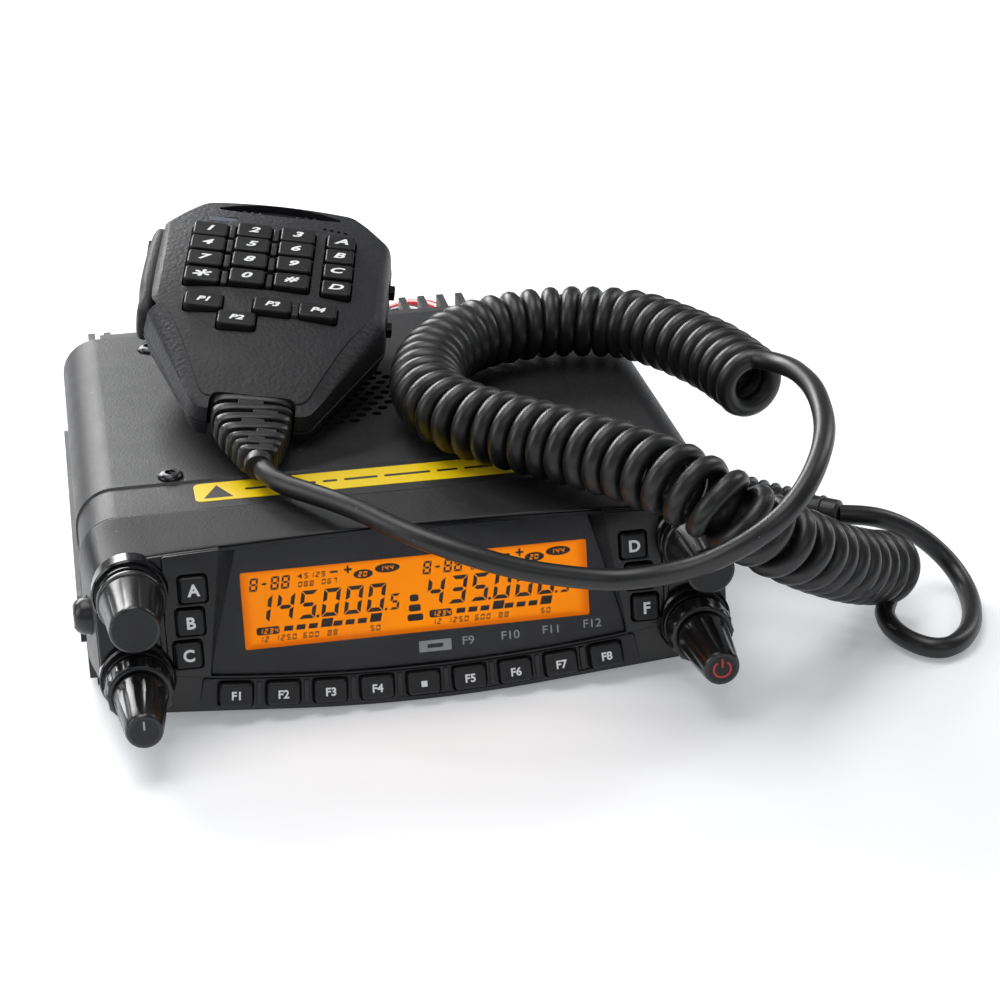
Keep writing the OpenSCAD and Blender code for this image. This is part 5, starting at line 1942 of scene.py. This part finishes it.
def front_shell():
    """Half with the keys: a straight wall, a round shoulder and a crowned face."""
    angles = mic_angles()
    sections = outline_rings(angles, ((-0.9, -13.42), (-0.35, -13.4), (-0.08, -13.2),
                                      (0.0, -12.9), (-0.25, -11.2), (-0.5, -9.4)))
    rim = [(x, y) for x, y, _ in sections[-1]]

    def shoulder(share):
        """Ring between the wall, at 0, and the edge of the face, at 1."""
        ring = []
        for (x, y), angle in zip(rim, angles):
            lower = smooth_step(-y, 12, 36)
            inset = 2.7 + 1.4 * lower - 1.3 * smooth_step(y, 16, 25)
            end = math.radians(80 - 18 * lower)
            a = share * end
            cut = inset * (1 - math.cos(a)) / (1 - math.cos(end))
            px, py = x - cut * math.cos(angle), y - cut * math.sin(angle)
            ring.append((px, py, -9.4 + (front_height(px, py) + 9.25 - 0.2 * lower) * math.sin(a)
                         / math.sin(end)))
        return ring

    sections += [shoulder(share) for share in (0.14, 0.28, 0.42, 0.56, 0.7, 0.84, 0.94, 1.0)]
    last = sections[-1]
    for gap, sink in ((0.15, 0.04), (0.4, 0.0), (1.2, 0.0)):
        ring = []
        for (x, y, w), angle in zip(last, angles):
            px, py = x - gap * math.cos(angle), y - gap * math.sin(angle)
            ring.append((px, py, front_height(px, py) - sink))
        sections.append(ring)
    return loft(sections + closing_rings(sections[-1], 16, front_height))


def rear_shell():
    """Half that lies in the hand: a straight wall and a quarter-round back."""
    angles = mic_angles()
    sections = outline_rings(angles, ((-0.9, -13.44), (-0.35, -13.46), (-0.08, -13.65),
                                      (0.0, -13.95), (-0.5, -15.6), (-1.1, -17.2)))
    rim = sections[-1]
    for k in range(1, 10):
        a = math.pi / 2 * k / 9
        ring = []
        for (x, y, w), angle in zip(rim, angles):
            inset = 6.4 * (1 - math.cos(a))
            px, py = x - inset * math.cos(angle), y - inset * math.sin(angle)
            ring.append((px, py, w + (rear_height(px, py) - w) * math.sin(a)))
        sections.append(ring)
    return loft(sections + closing_rings(sections[-1], 10, rear_height))


def crescent(grow, reach):
    """Bowed outline of the rocker at the top, reach to each side."""
    steps = [reach * i / 10 for i in range(-10, 11)]
    low = [(x, 20.5 + 0.0098 * x * x - grow) for x in steps]
    high = [(x, 25.9 - 0.0125 * x * x + grow) for x in reversed(steps)]
    return low + high


LAMP_WINDOW = (-13.2, 16.7)
SLIDES = {"lock": 5.4, "lamp": -10.9}
PROGRAM_KEYS = ((-14.4, -20.2), (-6.2, -26.0), (1.6, -20.4), (12.2, -20.2))


def pad_key_places():
    """Name, x and y of each key of the pad."""
    made = [(name, (column - 1.5) * PAD_STEP[0], (1.5 - row) * PAD_STEP[1] + PAD_Y)
            for row, names in enumerate(("123A", "456B", "789C", "*0#D"))
            for column, name in enumerate(names)]
    return made + [("P%d" % (k + 1), x, y) for k, (x, y) in enumerate(PROGRAM_KEYS)]


class TRANSCEIVER_OT_microphone(bpy.types.Operator):
    """Makes the two shells of the microphone with their wells, the lamp window and the hanger"""

    bl_idname = "transceiver.microphone"
    bl_label = "Microphone"

    def execute(self, context):
        lever_room = plate(soft_rectangle(10.4, 41.8, 1.5, 4, -28.9, 1.3), -20.6, -5.2)
        boot_room = plate(soft_rectangle(19.6, 16, 2.0, 4, 0, -55.4), -18, -8.2)
        wells = [plate(soft_rectangle((columns - 1) * PAD_STEP[0] + width + 0.9,
                                      3 * PAD_STEP[1] + PAD_KEY_DEPTH + 0.9, 1.0, 4, x, PAD_Y),
                       -5.9, 2, (), 0.15, 2) for x, columns, width in PAD_BLOCKS]
        wells += [plate(soft_rectangle(9.6, 6.35, 1.1, 4, x, y), -6.6, 1, (), 0.15, 2)
                  for x, y in PROGRAM_KEYS]
        wells.append(plate(soft_rectangle(6.9, 2.1, 0.4, 3, *LAMP_WINDOW),
                           front_height(-13, 16.7) - 0.35, 4))
        wells += [placed(lathe([(0, -4.6), (0.55, -4.6), (0.55, 2), (0, 2)], 16),
                         move(11.4 + 1.7 * k, 16.6 - 0.12 * k, 0)) for k in range(4)]
        wells.append(plate(crescent(0.3, 14.8), -10.6, 2, (), 0.2, 2))
        wells += [plate(soft_rectangle(5, 5.2, 0.8, 4, 28.7, y), -14.2, -8.4)
                  for y in SLIDES.values()]
        front = Piece("mic_front").add(front_shell(), "microphone")
        front.cut(wells + [lever_room, boot_room])
        # blocks between the number keys and thin webs between their rows
        divider = block(soft_rectangle(1.5, 5.3, 0.4, 3), -5.4, -0.72, 0.35, 3)
        front.add(repeat_grid(divider, 2, 4, *PAD_STEP, "microphone", True, 0.0, "pad dividers",
                              (PAD_BLOCKS[0][0], PAD_Y)), "microphone")
        for x, columns, width in PAD_BLOCKS:
            web = block(soft_rectangle(width + 0.9, 0.34, 0.1, 2), -5.4, -0.98, 0.1, 2)
            front.add(repeat_grid(web, columns, 3, *PAD_STEP, "microphone", True, 0.0,
                                  "pad webs", (x, PAD_Y)), "microphone")
        front.add(block(soft_rectangle(1.7, 5.2, 0.4, 3, 6.9, -20.3), -7.0, -2.05, 0.35, 3),
                  "microphone")
        front.mesh.transform(MIC)
        front.make("radio", 34, "mic_plastic", ["mic_front_shell"])

        rear = Piece("mic_rear").add(rear_shell(), "microphone")
        rear.cut([lever_room, boot_room] + [
            placed(lathe([(0, -30), (2.3, -30), (2.3, end), (0, end)], 24), move(x, y, 0))
            for x in (-13, 13) for y, end in ((17, -19.5), (-29, -18.5))])
        for k in range(5):
            rear.add(block(soft_rectangle(17 - k, 0.9, 0.4, 3, 0, -8 - 3.2 * k), 24.4 - 0.85 * k,
                           25.75 - 0.75 * k, 0.3, 2), "microphone", turn("Y", 180))
        rear.mesh.transform(MIC)
        rear.make("radio", 34, "mic_plastic", ["mic_rear_shell"])

        window = Piece("mic_lamp_window")
        window.add(block(soft_rectangle(6.6, 1.8, 0.3, 3, *LAMP_WINDOW), -3.6,
                         front_height(-13, 16.7) - 0.08, 0.12, 2), "led", MIC)
        window.make("radio", 30, "mic_plastic")

        hanger = Piece("mic_hanger_button")
        profile = rounded([(0, -31.7), (6.6, -31.7), (7.0, -31.2), (7.0, -30.4), (6.4, -30.1),
                           (4.4, -29.9), (3.9, -28.5), (4.4, -25.6), (5.6, -24.6), (0, -24.6)],
                          0.5, 3)
        hanger.add(lathe(profile, 56), "soft_black", MIC @ move(0, 12, 0))
        hanger.make("radio", 34, "mic_plastic", ["mic_hanger"])
        return {"FINISHED"}


class TRANSCEIVER_OT_microphone_keys(bpy.types.Operator):
    """Makes the silicone keys of the microphone with their white legends"""

    bl_idname = "transceiver.microphone_keys"
    bl_label = "Microphone keys"

    def execute(self, context):
        high = sizes().print_height / MM
        pad = Piece("mic_pad")
        for x, columns, width in PAD_BLOCKS:
            cap = block(soft_rectangle(width, PAD_KEY_DEPTH, 0.9, 5), -2.7, 0.1, 0.5, 4)
            pad.add(repeat_grid(cap, columns, 4, *PAD_STEP, "rubber", True, 0.0, "pad keys",
                                (x, PAD_Y)), "rubber", MIC)
        for x, y in PROGRAM_KEYS:
            top = 0.1 + pad_crown(x, y)
            pad.add(block(soft_rectangle(8.8, 5.6, 1.0, 5, x, y), top - 2.6, top, 0.5, 4),
                    "rubber", MIC)
        for name, x, y in pad_key_places():
            top = 0.1 + pad_crown(x, y)
            size, wide = (3.1, 1.45) if len(name) == 1 else (2.5, 1.25)
            if name == "*":
                size = 6.4
            pad.add(letters(name, size, high, 0.1, 0.3, wide), "white_print", MIC,
                    (x, y + 0.1, top + 0.02), False)
        pad.make("mic_keys", 34, "key_rubber", ["mic_keypad"])
        return {"FINISHED"}


class TRANSCEIVER_OT_microphone_switches(bpy.types.Operator):
    """Makes the talk lever, the rocker at the top and the two side slides"""

    bl_idname = "transceiver.microphone_switches"
    bl_label = "Microphone switches"

    def execute(self, context):
        lever = Piece("talk_lever")
        sections = []
        for k in range(33):
            t = -1 + 2 * k / 32
            y = 0.9 + 19.4 * math.sin(t * math.pi / 2)
            swell = math.cos(t * math.pi / 2) ** 0.38 if abs(t) < 1 else 0.0
            swell = max(swell, 0.12)
            reach = 2.8 * swell * (1 - 0.22 * math.exp(-((y + 11) / 3.2) ** 2))
            deep = 6.3 * max(swell, 0.45)
            ring = []
            for n in range(28):
                a = 2 * math.pi * n / 28
                c, s = math.cos(a), math.sin(a)
                ring.append((-28.1 + reach * math.copysign(abs(c) ** 0.7, c), y,
                             -13.0 + deep * math.copysign(abs(s) ** 0.6, s)))
            sections.append(ring)
        lever.add(loft(sections), "microphone", MIC)
        for k in range(4):
            lever.add(block(soft_rectangle(0.7, 6.4, 0.3, 3), 2.0, 2.95 - 0.05 * k, 0.3, 2),
                      "microphone", MIC @ move(-28.1, 14.6 - 1.6 * k, -13) @ turn("Y", -90)
                      @ turn("Z", 90))
        lever.make("ptt", 34, "key_rubber", ["mic_ptt"])

        rocker = Piece("up_down_rocker")
        rocker.add(block(eased(crescent(-0.8, 11.8), 0.5), -9.6, -4.6, 0.3, 3), "rubber", MIC)
        for side in (-1, 1):
            for k in range(3):
                rocker.add(block(soft_rectangle(1.2, 1.4, 0.4, 3, side * (4.6 + 2.0 * k), 23.0),
                                 -5.2, -3.9, 0.35, 2), "rubber", MIC)
        rocker.make("up_down", 34, "key_rubber", ["mic_rocker"])

        for name, y in SLIDES.items():
            slide = Piece("mic_%s_knob" % name)
            slide.add(block(soft_rectangle(3.4, 3.2, 0.5, 3, 28.2, y), -12.6, -10.2, 0.4, 3),
                      "rubber", MIC)
            for k in (-0.8, 0, 0.8):
                slide.add(block(soft_rectangle(3.0, 0.35, 0.15, 2, 28.25, y + k), -10.4, -9.95,
                                0.1, 2), "rubber", MIC)
            slide.make("mic_" + name, 34, "key_rubber", ["mic_%s_slide" % name])
        return {"FINISHED"}


# ---- Parts that keep their CAD shape ----


class TRANSCEIVER_OT_carried_parts(bpy.types.Operator):
    """Gives every part that keeps its CAD shape its own finish"""

    bl_idname = "transceiver.carried_parts"
    bl_label = "Carried-over parts"

    def execute(self, context):
        coats = {
            "chassis": "casting", "bottom_cover": "cover", "main_board": "board",
            "head_board": "board", "mic_board": "board", "loudspeaker": "paper",
            "fan_frame": "fan", "fan_rotor": "fan", "antenna_socket": "nickel",
            "rear_jacks": "fan", "mic_socket": "fan", "power_gland": "boot",
            "power_plug": "nylon", "mic_screws": "steel", "control_bodies": "plain_steel",
            "left_dial_shaft": "plain_steel", "right_dial_shaft": "plain_steel",
        }
        for name, kind in coats.items():
            for place in frame["nodes"][name].material_slots:
                place.material = finish(kind)
        return {"FINISHED"}


# ---- Laid out for Blender ----


class VIEW3D_PT_transceiver(bpy.types.Panel):
    """Lists the sizes, the colours and the pieces"""

    bl_label = "Mobile transceiver"
    bl_idname = "VIEW3D_PT_transceiver"
    bl_space_type = "VIEW_3D"
    bl_region_type = "UI"
    bl_category = "Transceiver"

    def draw(self, context):
        layout = self.layout
        for group in (context.scene.transceiver_sizes, context.scene.transceiver_colours):
            box = layout.box()
            for name in group.bl_rna.properties.keys():
                if name not in {"rna_type", "name"}:
                    box.prop(group, name)
        for step in STEPS:
            layout.operator(step.bl_idname)


STEPS = tuple(value for name, value in list(globals().items())
              if name.startswith("TRANSCEIVER_OT_"))
CLASSES = (TransceiverSizes, TransceiverColours, *STEPS, VIEW3D_PT_transceiver)


def register():
    for each in CLASSES:
        bpy.utils.register_class(each)
    bpy.types.Scene.transceiver_sizes = PointerProperty(type=TransceiverSizes)
    bpy.types.Scene.transceiver_colours = PointerProperty(type=TransceiverColours)


def unregister():
    del bpy.types.Scene.transceiver_colours
    del bpy.types.Scene.transceiver_sizes
    for each in reversed(CLASSES):
        bpy.utils.unregister_class(each)


def main():
    register()
    for step in STEPS:
        getattr(bpy.ops.transceiver, step.bl_idname.split(".")[1])()
    with open("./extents.json", "w") as out:
        json.dump({"cad": [list(corner) for corner in CAD_BOX],
                   "visual": [list(corner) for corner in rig.bounds()]}, out)


if __name__ == "__main__":
    main()
